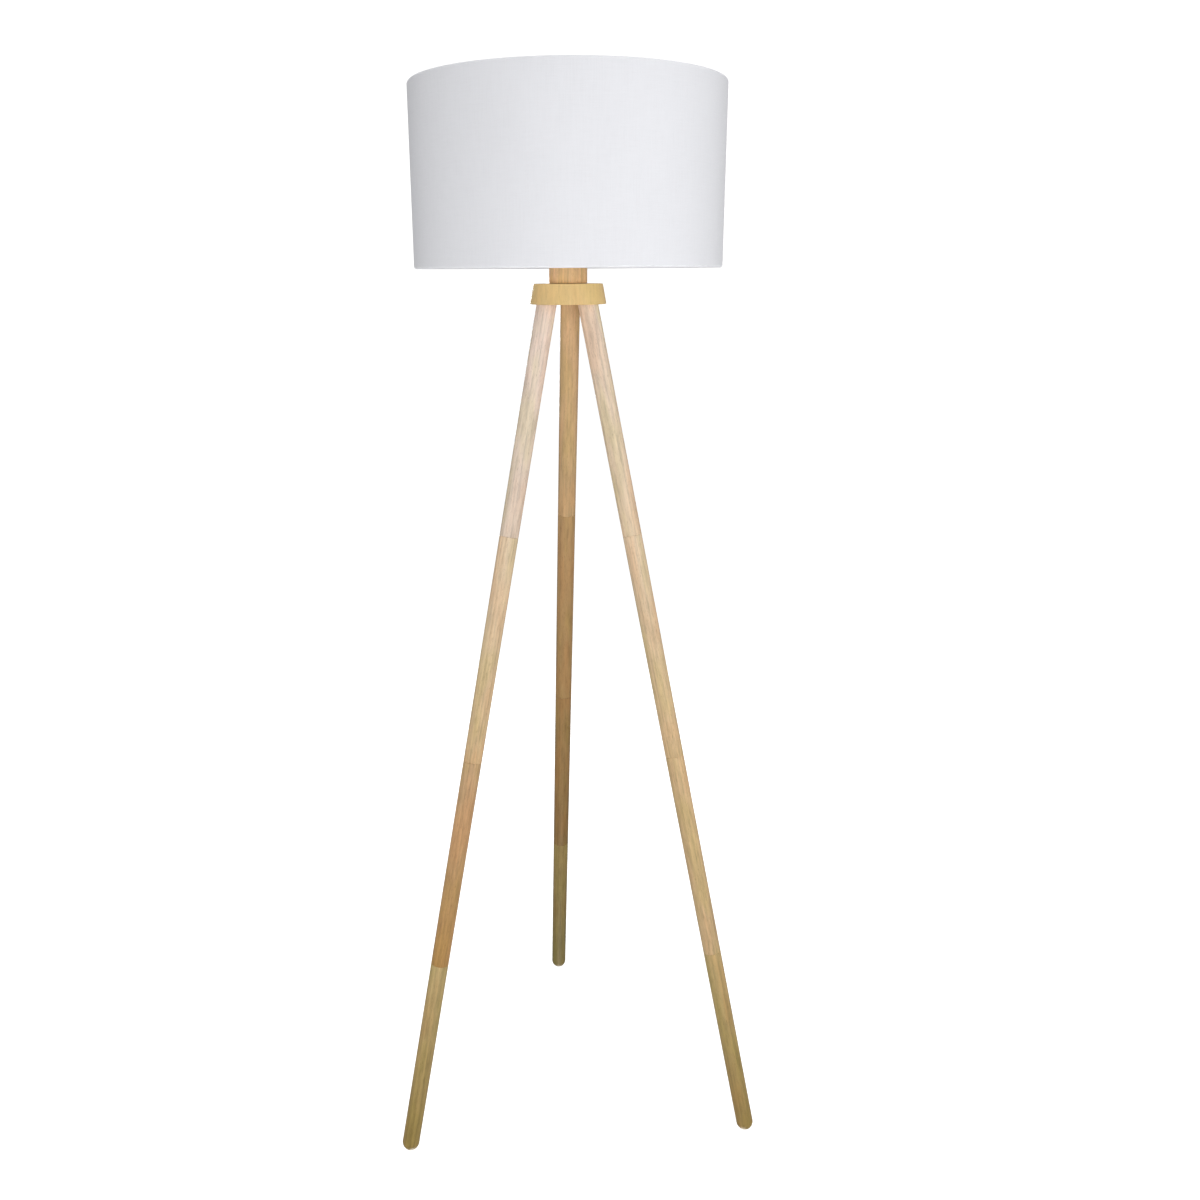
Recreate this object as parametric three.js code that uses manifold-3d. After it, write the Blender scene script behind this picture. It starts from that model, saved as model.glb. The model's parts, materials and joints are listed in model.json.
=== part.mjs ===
// A tripod floor lamp in millimetres, +Z up, standing on z = 0.
// Three wooden legs, each made of four turned sections that screw together, screw into a
// wooden hub. A neck, a threaded tube and a lampholder stand on the hub and carry a bulb and
// a drum shade. The front of the lamp faces -Y, and the third leg points straight back.
import * as THREE from 'three';
import { mergeVertices } from 'three/addons/utils/BufferGeometryUtils.js';
import Module from 'manifold-3d';

const wasm = await Module();
wasm.setup();

// ---- Driving dimensions ----------------------------------------------------------------

const GAP = 0.3; // clearance between pieces that touch
const PIERCE = 1; // how far a cutter runs past the face that it opens

// Legs
const FOOT_CIRCLE_R = 289.6; // lamp axis to each foot's centre
const SOCKET_CIRCLE_R = 31.4; // lamp axis to each leg's axis at the hub's underside
const SOCKET_TURN_DEG = -9.5; // the hub stands turned by this much about the lamp's axis
const LEG_AZIMUTHS_DEG = { leg_back: 90, leg_left: 210, leg_right: 330 };
const LEG_TOP_R = 13.2;
const LEG_FOOT_R = 12.3;
const FOOT_FLAT_DEPTH = 0.8; // how much of the round foot is flattened where it stands
const LEG_SUNK = 9; // how far a leg's end goes into its socket, along its axis
// Section lengths counted from the foot's end; the top section takes the rest.
const FOOT_SECTION = 298;
const LOWER_SECTION = 307;
const UPPER_SECTION = 320;

// M8 leg hardware
const STUD_R = 3.6;
const STUD_HOLE_R = 3.9;
const STUD_IN_WOOD = 20;
const STUD_IN_INSERT = 11.5;
const INSERT_R = 6;
const INSERT_BORE_R = 4;
const INSERT_LENGTH = 12;
const INSERT_FLANGE_R = 6.9;
const INSERT_FLANGE = 1.2;

// Hub and neck
const HUB_Z = 1206;
const HUB_HEIGHT = 26;
const HUB_BOTTOM_R = 50.4;
const HUB_TOP_R = 45.6;
const HUB_EDGE = 1; // chamfer round the hub's two edges
const HUB_RECESS_R = 13; // recess under the hub for the nut and the cord bush
const HUB_RECESS_DEPTH = 10;
const NECK_R = 25.1;
const NECK_HEIGHT = 38;
const NECK_EDGE = 0.8;

// M10 lamp tube and what is on it
const TUBE_R = 4.9;
const TUBE_BORE_R = 4.2;
const TUBE_HOLE_R = 5.2;
const TUBE_IN_HOLDER = 11;
const TUBE_PAST_NUT = 1;
const NUT_ACROSS_CORNERS = 16.2;
const NUT_HEIGHT = 4;
const WASHER_R = 11;
const WASHER_THICKNESS = 1.2;
const BUSH_FLANGE_R = 6.6;
const BUSH_SPIGOT_R = 3.9;
const BUSH_BORE_R = 3.3;
const BUSH_FLANGE = 1.4;
const BUSH_SPIGOT = 4.5;

// E27 lampholder, heights counted from the top of the neck
const CUP_HEIGHT = 25.4;
const CUP_R = 20.4;
const CUP_WALL = 2;
const CUP_FLOOR = 2.5;
const SHELL_SKIRT_Z = 19.4;
const SHELL_SKIRT_R = 18.1;
const SHELL_FLANGE_R = 23;
const SHELL_FLANGE = 2.7;
const SHELL_BARREL_R = 19.3;
const SHELL_TOP_Z = 53.4;
const SHELL_BORE_R = 16.6;
const CORE_R = 16.3;
const CORE_Z = 20.4;
const CORE_FLOOR = 7;
const CORE_TOP_Z = 50.4;
const CORE_BORE_R = 14.8;
const SCREW_CONTACT_R = 14.5;
const SCREW_CONTACT_WALL = 0.6;
const SCREW_CONTACT_HEIGHT = 19;
const SCREW_CONTACT_LIFT = 2; // above the core's floor
const TONGUE_WIDTH = 5; // the sprung centre contact
const TONGUE_THICKNESS = 0.5;
const TONGUE_LINE = [[-9, 0], [-4, 0], [-2, 3.2], [3, 3.6]]; // its side view, foot to tip
const TERMINAL_SPREAD = 9; // lamp axis to each terminal screw
const TERMINAL_R = 1.5;
const TERMINAL_HEAD_R = 2.8;
const TERMINAL_HEAD = 2.4;
const TERMINAL_LENGTH = 5;

// Turn switch in the lampholder's cup
const SWITCH_Z = 13.4;
const SPINDLE_R = 2;
const SPINDLE_HOLE_R = 2.5;
const SPINDLE_X = [8, 30];
const KNOB_X = [21.4, 41];
const KNOB_COLLAR_R = 6;
const KNOB_COLLAR = 6;
const KNOB_CORE_R = 3.5;
const KNOB_CORE_X = 32; // where the core round the spindle ends
const KNOB_BLADE_WIDTH = 11;
const KNOB_BLADE_THICKNESS = 4;

// Shade
const SHADE_Z = 1251;
const SHADE_HEIGHT = 221;
const SHADE_R = 200;
const SHADE_SKIN = 1.2;
const RING_WIRE_R = 1.6;
const RING_INSET = 3; // shade's edge to the middle of the ring's wire
const ARM_WIRE_R = 1.9;
const ARM_AZIMUTHS_DEG = [30, 150, 270];
const ARM_LEVEL_PULL = 50; // how far the arm's curve keeps level as it leaves the fitter
const ARM_RING_PULL = 60; // how far inside the ring it starts to come down
const ARM_RING_LIFT = 8;
const FITTER_R = 28;
const FITTER_HOLE_R = 20;
const FITTER_THICKNESS = 2;
const COLLAR_BORE_R = 19.7;
const COLLAR_R = 23;
const COLLAR_FLANGE_R = 27;
const COLLAR_FLANGE = 2;
const COLLAR_HEIGHT = 8;

// Bulb, heights counted from its tip
const BULB_ABOVE_CORE = 5; // tip to the core's floor, screwed home
const BULB_TIP_R = 4.5;
const BULB_TIP_HEIGHT = 1.6;
const BULB_TIP_DOME = 0.3;
const INSULATOR_LOW_R = 5;
const INSULATOR_IN_CAP = 1.5;
const BULB_CAP_R = 13.1;
const BULB_CAP_WALL = 0.6;
const BULB_CAP_Z = [5.3, 22.5];
const BULB_SPIGOT_Z = [9.3, 23]; // the part of the housing that sits in the cap
const BULB_FLARE = [[16, 24], [21, 40], [27, 55], [29, 65]]; // radius and height up to the rim
const BULB_GLOBE_R = 30;
const BULB_GLOBE_Z = 78;
const BULB_GLOBE_START_DEG = -25; // the globe's lower edge, seen from its centre
const BULB_WALL = 1.6;

// The lamp's axis is set back so that the origin is under the middle of the whole lamp.
const AXIS_Y = -Math.round((FOOT_CIRCLE_R + LEG_FOOT_R - SHADE_R) / 2);

// ---- Derived heights -------------------------------------------------------------------

const NECK_Z = HUB_Z + HUB_HEIGHT + GAP;
const NECK_TOP_Z = NECK_Z + NECK_HEIGHT;
const HOLDER_Z = NECK_TOP_Z + GAP;
const FLANGE_TOP_Z = HOLDER_Z + CUP_HEIGHT + GAP + SHELL_FLANGE;
const FITTER_Z = FLANGE_TOP_Z + GAP;
const COLLAR_Z = FITTER_Z + FITTER_THICKNESS + GAP;
const CORE_FLOOR_Z = HOLDER_Z + CORE_Z + CORE_FLOOR;
const BULB_Z = CORE_FLOOR_Z + BULB_ABOVE_CORE;
const RING_R = SHADE_R - SHADE_SKIN - GAP - RING_WIRE_R;

// ---- Looks -----------------------------------------------------------------------------

const LOOKS = {
  leg_wood: { color: 0xcdb083, roughness: 0.55, metalness: 0 },
  hub_wood: { color: 0xd8b884, roughness: 0.5, metalness: 0 },
  neck_wood: { color: 0xd0a471, roughness: 0.5, metalness: 0 },
  shade_fabric: { color: 0xe8e9ee, roughness: 0.95, metalness: 0 },
  white_wire: { color: 0xe6e6e4, roughness: 0.45, metalness: 0.2 },
  steel: { color: 0x9fa2a6, roughness: 0.35, metalness: 1 },
  brass: { color: 0xb99a57, roughness: 0.3, metalness: 1 },
  holder_plastic: { color: 0x1c1c1d, roughness: 0.4, metalness: 0 },
  ceramic: { color: 0xe9e5da, roughness: 0.3, metalness: 0 },
  bulb_plastic: { color: 0xf1f1ee, roughness: 0.4, metalness: 0 },
  bulb_diffuser: { color: 0xf7f5ee, roughness: 0.5, metalness: 0 },
};

// ---- Shape helpers ---------------------------------------------------------------------

const rad = THREE.MathUtils.degToRad;

// A piece turned about +Z from [radius, height] points, which run up its outside.
function turned(profile, sides) {
  const points = profile.map(([r, z]) => new THREE.Vector2(r, z));
  return new THREE.LatheGeometry(points, sides).rotateX(Math.PI / 2);
}

// A turned ring or tube with a rectangular section.
function sleeve(innerR, outerR, z0, z1, sides) {
  return turned([[innerR, z0], [outerR, z0], [outerR, z1], [innerR, z1], [innerR, z0]], sides);
}

// A turned plain cylinder.
function rod(r, z0, z1, sides) {
  return turned([[0, z0], [r, z0], [r, z1], [0, z1]], sides);
}

// Points of an arc about [r, z], from one angle to another, in degrees from the +r direction.
function arc(r, z, radius, from, to, steps) {
  return Array.from({ length: steps + 1 }, (_, i) => {
    const angle = rad(from + ((to - from) * i) / steps);
    return [r + radius * Math.cos(angle), z + radius * Math.sin(angle)];
  });
}

// A round wire along a curve, closed at both ends.
function wire(curve, radius, sides, steps) {
  const corners = Array.from({ length: sides }, (_, i) => {
    const angle = (2 * Math.PI * i) / sides;
    return new THREE.Vector2(radius * Math.cos(angle), radius * Math.sin(angle));
  });
  const options = { steps, extrudePath: curve, bevelEnabled: false };
  return new THREE.ExtrudeGeometry(new THREE.Shape(corners), options);
}

function solid(geometry) {
  const bare = geometry.clone();
  bare.deleteAttribute('normal');
  bare.deleteAttribute('uv');
  const merged = mergeVertices(bare);
  const vertProperties = new Float32Array(merged.attributes.position.array);
  const triVerts = new Uint32Array(merged.index.array);
  return new wasm.Manifold(new wasm.Mesh({ numProp: 3, vertProperties, triVerts }));
}

function geometryOf(body) {
  const { vertProperties, triVerts } = body.getMesh();
  const geometry = new THREE.BufferGeometry();
  geometry.setAttribute('position', new THREE.BufferAttribute(vertProperties, 3));
  geometry.setIndex(new THREE.BufferAttribute(triVerts, 1));
  return geometry;
}

function cut(geometry, ...cutters) {
  return geometryOf(cutters.reduce((body, c) => body.subtract(solid(c)), solid(geometry)));
}

function joined(...geometries) {
  return geometryOf(geometries.map(solid).reduce((body, next) => body.add(next)));
}

function piece(parent, name, geometry, look, z = 0) {
  const mesh = new THREE.Mesh(geometry, new THREE.MeshStandardMaterial(LOOKS[look]));
  mesh.name = name;
  mesh.position.z = z;
  parent.add(mesh);
}

// ---- Legs ------------------------------------------------------------------------------

const LEG_SIDES = 20;
const HARDWARE_SIDES = 12;
const BALL_STEPS = 6;
const FLOOR_BLOCK = 100; // side of the block that flattens each foot

function onCircle(radius, azimuthDeg, z) {
  const a = rad(azimuthDeg);
  return new THREE.Vector3(radius * Math.cos(a), radius * Math.sin(a), z);
}

// A leg's own frame: its origin is the centre of the round foot, and +Z runs up its axis.
function legFrame(azimuthDeg) {
  const foot = onCircle(FOOT_CIRCLE_R, azimuthDeg, LEG_FOOT_R - FOOT_FLAT_DEPTH);
  const socket = onCircle(SOCKET_CIRCLE_R, azimuthDeg + SOCKET_TURN_DEG, HUB_Z);
  const axis = socket.clone().sub(foot);
  const frame = new THREE.Group();
  frame.position.copy(foot);
  frame.quaternion.setFromUnitVectors(new THREE.Vector3(0, 0, 1), axis.clone().normalize());
  frame.updateMatrix();
  return { frame, length: axis.length() };
}

// The leg's radius at a height in its own frame: a slight taper down to the foot.
function legRadius(z, length) {
  return LEG_FOOT_R + ((LEG_TOP_R - LEG_FOOT_R) * z) / length;
}

function studHole(top) {
  return [[STUD_HOLE_R, top], [STUD_HOLE_R, top - STUD_IN_WOOD - GAP], [0, top - STUD_IN_WOOD - GAP]];
}

// The stepped pocket in an end face at z = 0, from its ceiling on the axis out to its mouth.
function insertPocket() {
  const ceiling = INSERT_LENGTH + 2 * GAP + PIERCE;
  const step = INSERT_FLANGE + 2 * GAP;
  const r = INSERT_R + GAP;
  const mouth = INSERT_FLANGE_R + GAP;
  return [[0, ceiling], [r, ceiling], [r, step], [mouth, step], [mouth, 0]];
}

function footSection(frame, top, length) {
  const ball = arc(0, 0, LEG_FOOT_R, -90, 0, BALL_STEPS);
  const blank = turned([...ball, [legRadius(top, length), top], ...studHole(top)], LEG_SIDES);
  const floor = new THREE.BoxGeometry(FLOOR_BLOCK, FLOOR_BLOCK, FLOOR_BLOCK);
  floor.translate(frame.position.x, frame.position.y, -FLOOR_BLOCK / 2);
  return cut(blank, floor.applyMatrix4(frame.matrix.clone().invert()));
}

function upperSection(z, height, length) {
  const sides = [[legRadius(z, length), 0], [legRadius(z + height, length), height]];
  return turned([...insertPocket(), ...sides, ...studHole(height)], LEG_SIDES);
}

// A headless stud: its lower end stays in the wood below, its upper end screws into an insert.
function stud() {
  return rod(STUD_R, -STUD_IN_WOOD, STUD_IN_INSERT, HARDWARE_SIDES);
}

// A flanged insert, with its flange at the mouth of its pocket.
function insert() {
  const flange = INSERT_FLANGE;
  return turned([
    [INSERT_BORE_R, 0], [INSERT_FLANGE_R, 0], [INSERT_FLANGE_R, flange], [INSERT_R, flange],
    [INSERT_R, INSERT_LENGTH], [INSERT_BORE_R, INSERT_LENGTH], [INSERT_BORE_R, 0],
  ], HARDWARE_SIDES);
}

function addLeg(parent, name, azimuthDeg) {
  const { frame, length } = legFrame(azimuthDeg);
  const end = length + LEG_SUNK;
  const low = FOOT_SECTION - LEG_FOOT_R;
  const middle = low + LOWER_SECTION;
  const high = middle + UPPER_SECTION;
  piece(frame, `${name}_foot_section`, footSection(frame, low - GAP, length), 'leg_wood');
  const spans = { lower: [low, middle - GAP], upper: [middle, high - GAP], top: [high, end] };
  for (const [part, [from, to]] of Object.entries(spans)) {
    piece(frame, `${name}_${part}_section`, upperSection(from, to - from, length), 'leg_wood', from);
    piece(frame, `${name}_${part}_insert`, insert(), 'steel', from + GAP);
    piece(frame, `${name}_${part}_stud`, stud(), 'steel', from - GAP);
  }
  piece(frame, `${name}_hub_stud`, stud(), 'steel', end);
  parent.add(frame);
}

// ---- Hub, neck and tube ----------------------------------------------------------------

const HUB_SIDES = 48;
const TUBE_SIDES = 24;

// The socket that a leg sits in, with the pocket for its insert, cut along the leg's axis.
function socketCutter(azimuthDeg) {
  const { frame, length } = legFrame(azimuthDeg);
  const floor = length + LEG_SUNK + GAP;
  const profile = insertPocket().map(([r, z]) => [r, z + floor]).reverse();
  const mouth = LEG_TOP_R + GAP;
  const below = length - 2 * LEG_SUNK;
  const cutter = turned([[0, below], [mouth, below], [mouth, floor], ...profile], LEG_SIDES);
  return cutter.applyMatrix4(frame.matrix);
}

function hubDisc() {
  const top = HUB_Z + HUB_HEIGHT;
  const recess = HUB_Z + HUB_RECESS_DEPTH;
  const blank = turned([
    [TUBE_HOLE_R, recess], [HUB_RECESS_R, recess], [HUB_RECESS_R, HUB_Z],
    [HUB_BOTTOM_R - HUB_EDGE, HUB_Z], [HUB_BOTTOM_R, HUB_Z + HUB_EDGE],
    [HUB_TOP_R, top - HUB_EDGE], [HUB_TOP_R - HUB_EDGE, top],
    [TUBE_HOLE_R, top], [TUBE_HOLE_R, recess],
  ], HUB_SIDES);
  return cut(blank, ...Object.values(LEG_AZIMUTHS_DEG).map(socketCutter));
}

function hubInsert(parent, name, azimuthDeg) {
  const { frame, length } = legFrame(azimuthDeg);
  piece(frame, `${name}_hub_insert`, insert(), 'steel', length + LEG_SUNK + 2 * GAP);
  parent.add(frame);
}

function neck() {
  return turned([
    [TUBE_HOLE_R, NECK_Z], [NECK_R, NECK_Z], [NECK_R, NECK_TOP_Z - NECK_EDGE],
    [NECK_R - NECK_EDGE, NECK_TOP_Z], [TUBE_HOLE_R, NECK_TOP_Z], [TUBE_HOLE_R, NECK_Z],
  ], HUB_SIDES);
}

function addTube(parent) {
  const washerTop = HUB_Z + HUB_RECESS_DEPTH - GAP;
  const nutTop = washerTop - WASHER_THICKNESS - GAP;
  const nutBottom = nutTop - NUT_HEIGHT;
  const tubeBottom = nutBottom - TUBE_PAST_NUT;
  const tubeTop = HOLDER_Z + TUBE_IN_HOLDER;
  const tube = sleeve(TUBE_BORE_R, TUBE_R, tubeBottom, tubeTop, TUBE_SIDES);
  piece(parent, 'lamp_tube', tube, 'steel');
  const washer = sleeve(TUBE_HOLE_R, WASHER_R, washerTop - WASHER_THICKNESS, washerTop, TUBE_SIDES);
  piece(parent, 'tube_washer', washer, 'steel');
  const hexagon = rod(NUT_ACROSS_CORNERS / 2, nutBottom, nutTop, 6);
  const hole = rod(TUBE_HOLE_R, nutBottom - PIERCE, nutTop + PIERCE, TUBE_SIDES);
  piece(parent, 'tube_nut', cut(hexagon, hole), 'steel');
  const seat = tubeBottom - GAP;
  const bush = turned([
    [BUSH_BORE_R, seat - BUSH_FLANGE], [BUSH_FLANGE_R, seat - BUSH_FLANGE], [BUSH_FLANGE_R, seat],
    [BUSH_SPIGOT_R, seat], [BUSH_SPIGOT_R, seat + BUSH_SPIGOT], [BUSH_BORE_R, seat + BUSH_SPIGOT],
    [BUSH_BORE_R, seat - BUSH_FLANGE],
  ], TUBE_SIDES);
  piece(parent, 'cord_bush', bush, 'holder_plastic');
}

// ---- Lampholder ------------------------------------------------------------------------

const HOLDER_SIDES = 24;

// Turns a piece made along +Z so that it lies along +X, at the height of the switch.
function alongSwitch(geometry) {
  return geometry.rotateY(Math.PI / 2).translate(0, 0, SWITCH_Z);
}

function holderCup() {
  const inner = CUP_R - CUP_WALL;
  const cup = turned([
    [TUBE_HOLE_R, 0], [CUP_R, 0], [CUP_R, CUP_HEIGHT], [inner, CUP_HEIGHT],
    [inner, CUP_FLOOR], [TUBE_HOLE_R, CUP_FLOOR], [TUBE_HOLE_R, 0],
  ], HOLDER_SIDES);
  const hole = rod(SPINDLE_HOLE_R, inner - PIERCE, CUP_R + PIERCE, HARDWARE_SIDES);
  return cut(cup, alongSwitch(hole));
}

function holderShell() {
  const flange = CUP_HEIGHT + GAP;
  return turned([
    [SHELL_BORE_R, SHELL_SKIRT_Z], [SHELL_SKIRT_R, SHELL_SKIRT_Z], [SHELL_SKIRT_R, flange],
    [SHELL_FLANGE_R, flange], [SHELL_FLANGE_R, flange + SHELL_FLANGE],
    [SHELL_BARREL_R, flange + SHELL_FLANGE], [SHELL_BARREL_R, SHELL_TOP_Z],
    [SHELL_BORE_R, SHELL_TOP_Z], [SHELL_BORE_R, SHELL_SKIRT_Z],
  ], HOLDER_SIDES);
}

function terminalHole(x) {
  return rod(TERMINAL_R + GAP, CORE_Z - PIERCE, CORE_Z + TERMINAL_LENGTH + GAP, HARDWARE_SIDES)
    .translate(x, 0, 0);
}

function holderCore() {
  const floor = CORE_Z + CORE_FLOOR;
  const core = turned([
    [0, CORE_Z], [CORE_R, CORE_Z], [CORE_R, CORE_TOP_Z], [CORE_BORE_R, CORE_TOP_Z],
    [CORE_BORE_R, floor], [0, floor],
  ], HOLDER_SIDES);
  return cut(core, terminalHole(TERMINAL_SPREAD), terminalHole(-TERMINAL_SPREAD));
}

function terminalScrew(x) {
  const head = CORE_Z - GAP;
  return turned([
    [0, head - TERMINAL_HEAD], [TERMINAL_HEAD_R, head - TERMINAL_HEAD], [TERMINAL_HEAD_R, head],
    [TERMINAL_R, head], [TERMINAL_R, CORE_Z + TERMINAL_LENGTH], [0, CORE_Z + TERMINAL_LENGTH],
  ], HARDWARE_SIDES).translate(x, 0, 0);
}

// A sprung tongue on the core's floor, arched up to the bulb's tip.
function centreContact() {
  const under = TONGUE_LINE.map(([x, z]) => new THREE.Vector2(x, z));
  const over = TONGUE_LINE.map(([x, z]) => new THREE.Vector2(x, z + TONGUE_THICKNESS)).reverse();
  const outline = new THREE.Shape([...under, ...over]);
  const strip = new THREE.ExtrudeGeometry(outline, { depth: TONGUE_WIDTH, bevelEnabled: false });
  return strip.rotateX(Math.PI / 2).translate(0, TONGUE_WIDTH / 2, CORE_Z + CORE_FLOOR + GAP);
}

function switchKnob() {
  const [start, end] = KNOB_X;
  const collar = rod(KNOB_COLLAR_R, start, start + KNOB_COLLAR, HARDWARE_SIDES);
  const root = start + KNOB_COLLAR - PIERCE;
  const blade = new THREE.BoxGeometry(KNOB_BLADE_THICKNESS, KNOB_BLADE_WIDTH, end - root);
  blade.translate(0, 0, (root + end) / 2);
  const core = rod(KNOB_CORE_R, start, KNOB_CORE_X, HARDWARE_SIDES);
  const hole = rod(SPINDLE_R + GAP, start - PIERCE, SPINDLE_X[1] + GAP, HARDWARE_SIDES);
  return alongSwitch(cut(joined(collar, blade, core), hole));
}

function addHolder(parent) {
  const holder = new THREE.Group();
  holder.position.z = HOLDER_Z;
  parent.add(holder);
  piece(holder, 'holder_cup', holderCup(), 'holder_plastic');
  piece(holder, 'holder_shell', holderShell(), 'holder_plastic');
  piece(holder, 'holder_core', holderCore(), 'ceramic');
  const low = CORE_Z + CORE_FLOOR + SCREW_CONTACT_LIFT;
  const high = low + SCREW_CONTACT_HEIGHT;
  const inner = SCREW_CONTACT_R - SCREW_CONTACT_WALL;
  piece(holder, 'screw_contact', sleeve(inner, SCREW_CONTACT_R, low, high, HOLDER_SIDES), 'brass');
  piece(holder, 'centre_contact', centreContact(), 'brass');
  piece(holder, 'terminal_screw_right', terminalScrew(TERMINAL_SPREAD), 'brass');
  piece(holder, 'terminal_screw_left', terminalScrew(-TERMINAL_SPREAD), 'brass');
  piece(holder, 'switch_spindle', alongSwitch(rod(SPINDLE_R, ...SPINDLE_X, HARDWARE_SIDES)), 'brass');
  piece(holder, 'switch_knob', switchKnob(), 'holder_plastic');
}

// ---- Shade -----------------------------------------------------------------------------

const SHADE_SIDES = 72;
const WIRE_SIDES = 6;
const ARM_STEPS = 10;

function shadeRing(z) {
  return new THREE.TorusGeometry(RING_R, RING_WIRE_R, WIRE_SIDES, SHADE_SIDES).translate(0, 0, z);
}

// An arm runs level out of the fitter ring and curves down to the bottom ring.
function shadeArm(azimuthDeg, ringZ) {
  const z = FITTER_Z + FITTER_THICKNESS - ARM_WIRE_R;
  const inner = FITTER_R - ARM_WIRE_R;
  const curve = new THREE.CubicBezierCurve3(
    onCircle(inner, azimuthDeg, z),
    onCircle(inner + ARM_LEVEL_PULL, azimuthDeg, z),
    onCircle(RING_R - ARM_RING_PULL, azimuthDeg, ringZ + ARM_RING_LIFT),
    onCircle(RING_R, azimuthDeg, ringZ),
  );
  return wire(curve, ARM_WIRE_R, WIRE_SIDES, ARM_STEPS);
}

// The bottom ring, its three arms and the fitter ring, welded into one piece.
function shadeCarrier() {
  const ringZ = SHADE_Z + RING_INSET;
  const fitterTop = FITTER_Z + FITTER_THICKNESS;
  const fitter = sleeve(FITTER_HOLE_R, FITTER_R, FITTER_Z, fitterTop, HOLDER_SIDES);
  const arms = ARM_AZIMUTHS_DEG.map((azimuth) => shadeArm(azimuth, ringZ));
  return joined(shadeRing(ringZ), ...arms, fitter);
}

function collarRing() {
  const top = COLLAR_Z + COLLAR_HEIGHT;
  const step = COLLAR_Z + COLLAR_FLANGE;
  return turned([
    [COLLAR_BORE_R, COLLAR_Z], [COLLAR_FLANGE_R, COLLAR_Z], [COLLAR_FLANGE_R, step],
    [COLLAR_R, step], [COLLAR_R, top], [COLLAR_BORE_R, top], [COLLAR_BORE_R, COLLAR_Z],
  ], HOLDER_SIDES);
}

function addShade(parent) {
  const skin = sleeve(SHADE_R - SHADE_SKIN, SHADE_R, SHADE_Z, SHADE_Z + SHADE_HEIGHT, SHADE_SIDES);
  piece(parent, 'shade_skin', skin, 'shade_fabric');
  piece(parent, 'shade_top_ring', shadeRing(SHADE_Z + SHADE_HEIGHT - RING_INSET), 'white_wire');
  piece(parent, 'shade_carrier', shadeCarrier(), 'white_wire');
  piece(parent, 'shade_collar', collarRing(), 'holder_plastic');
}

// ---- Bulb ------------------------------------------------------------------------------

const GLOBE_STEPS = 9;

function bulbHousing() {
  const spigot = BULB_CAP_R - BULB_CAP_WALL - GAP;
  const outside = [...BULB_SPIGOT_Z.map((z) => [spigot, z]), ...BULB_FLARE];
  const inside = outside.map(([r, z]) => [r - BULB_WALL, z]).reverse();
  return turned([inside.at(-1), ...outside, ...inside], HOLDER_SIDES);
}

function bulbGlobe() {
  const start = BULB_GLOBE_START_DEG;
  const outside = arc(0, BULB_GLOBE_Z, BULB_GLOBE_R, start, 90, GLOBE_STEPS);
  const inside = arc(0, BULB_GLOBE_Z, BULB_GLOBE_R - BULB_WALL, start, 90, GLOBE_STEPS);
  const edge = outside[0][1];
  const below = edge - PIERCE;
  const blank = turned([[0, edge], ...outside], HOLDER_SIDES);
  return cut(blank, turned([[0, below], [inside[0][0], below], ...inside], HOLDER_SIDES));
}

function addBulb(parent) {
  const bulb = new THREE.Group();
  bulb.position.z = BULB_Z;
  parent.add(bulb);
  const tip = turned([
    [0, 0], [BULB_TIP_R - 1, BULB_TIP_DOME], [BULB_TIP_R, BULB_TIP_HEIGHT], [0, BULB_TIP_HEIGHT],
  ], HARDWARE_SIDES);
  piece(bulb, 'bulb_contact', tip, 'brass');
  const [capBottom, capTop] = BULB_CAP_Z;
  const capInner = BULB_CAP_R - BULB_CAP_WALL;
  const insulatorLow = BULB_TIP_HEIGHT + GAP;
  const insulatorTop = capBottom + INSULATOR_IN_CAP;
  const insulator = turned([
    [0, insulatorLow], [INSULATOR_LOW_R, insulatorLow], [capInner - GAP, capBottom],
    [capInner - GAP, insulatorTop], [0, insulatorTop],
  ], HOLDER_SIDES);
  piece(bulb, 'bulb_insulator', insulator, 'holder_plastic');
  piece(bulb, 'bulb_cap', sleeve(capInner, BULB_CAP_R, capBottom, capTop, HOLDER_SIDES), 'steel');
  piece(bulb, 'bulb_housing', bulbHousing(), 'bulb_plastic');
  piece(bulb, 'bulb_globe', bulbGlobe(), 'bulb_diffuser');
}

// ---- The lamp --------------------------------------------------------------------------

const lamp = new THREE.Group();
lamp.position.y = AXIS_Y;
piece(lamp, 'hub_disc', hubDisc(), 'hub_wood');
piece(lamp, 'neck', neck(), 'neck_wood');
addTube(lamp);
for (const [name, azimuth] of Object.entries(LEG_AZIMUTHS_DEG)) {
  addLeg(lamp, name, azimuth);
  hubInsert(lamp, name, azimuth);
}
addHolder(lamp);
addShade(lamp);
addBulb(lamp);

export default lamp;
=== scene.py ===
"""The looks of a tripod floor lamp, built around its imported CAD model. Metres, +Z up.

The camera comes first, then helpers and materials, then one section for each group of
pieces, from the legs to the bulb, and last the studio.
"""
import json
import math

import bpy
from mathutils import Matrix, Vector


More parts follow.
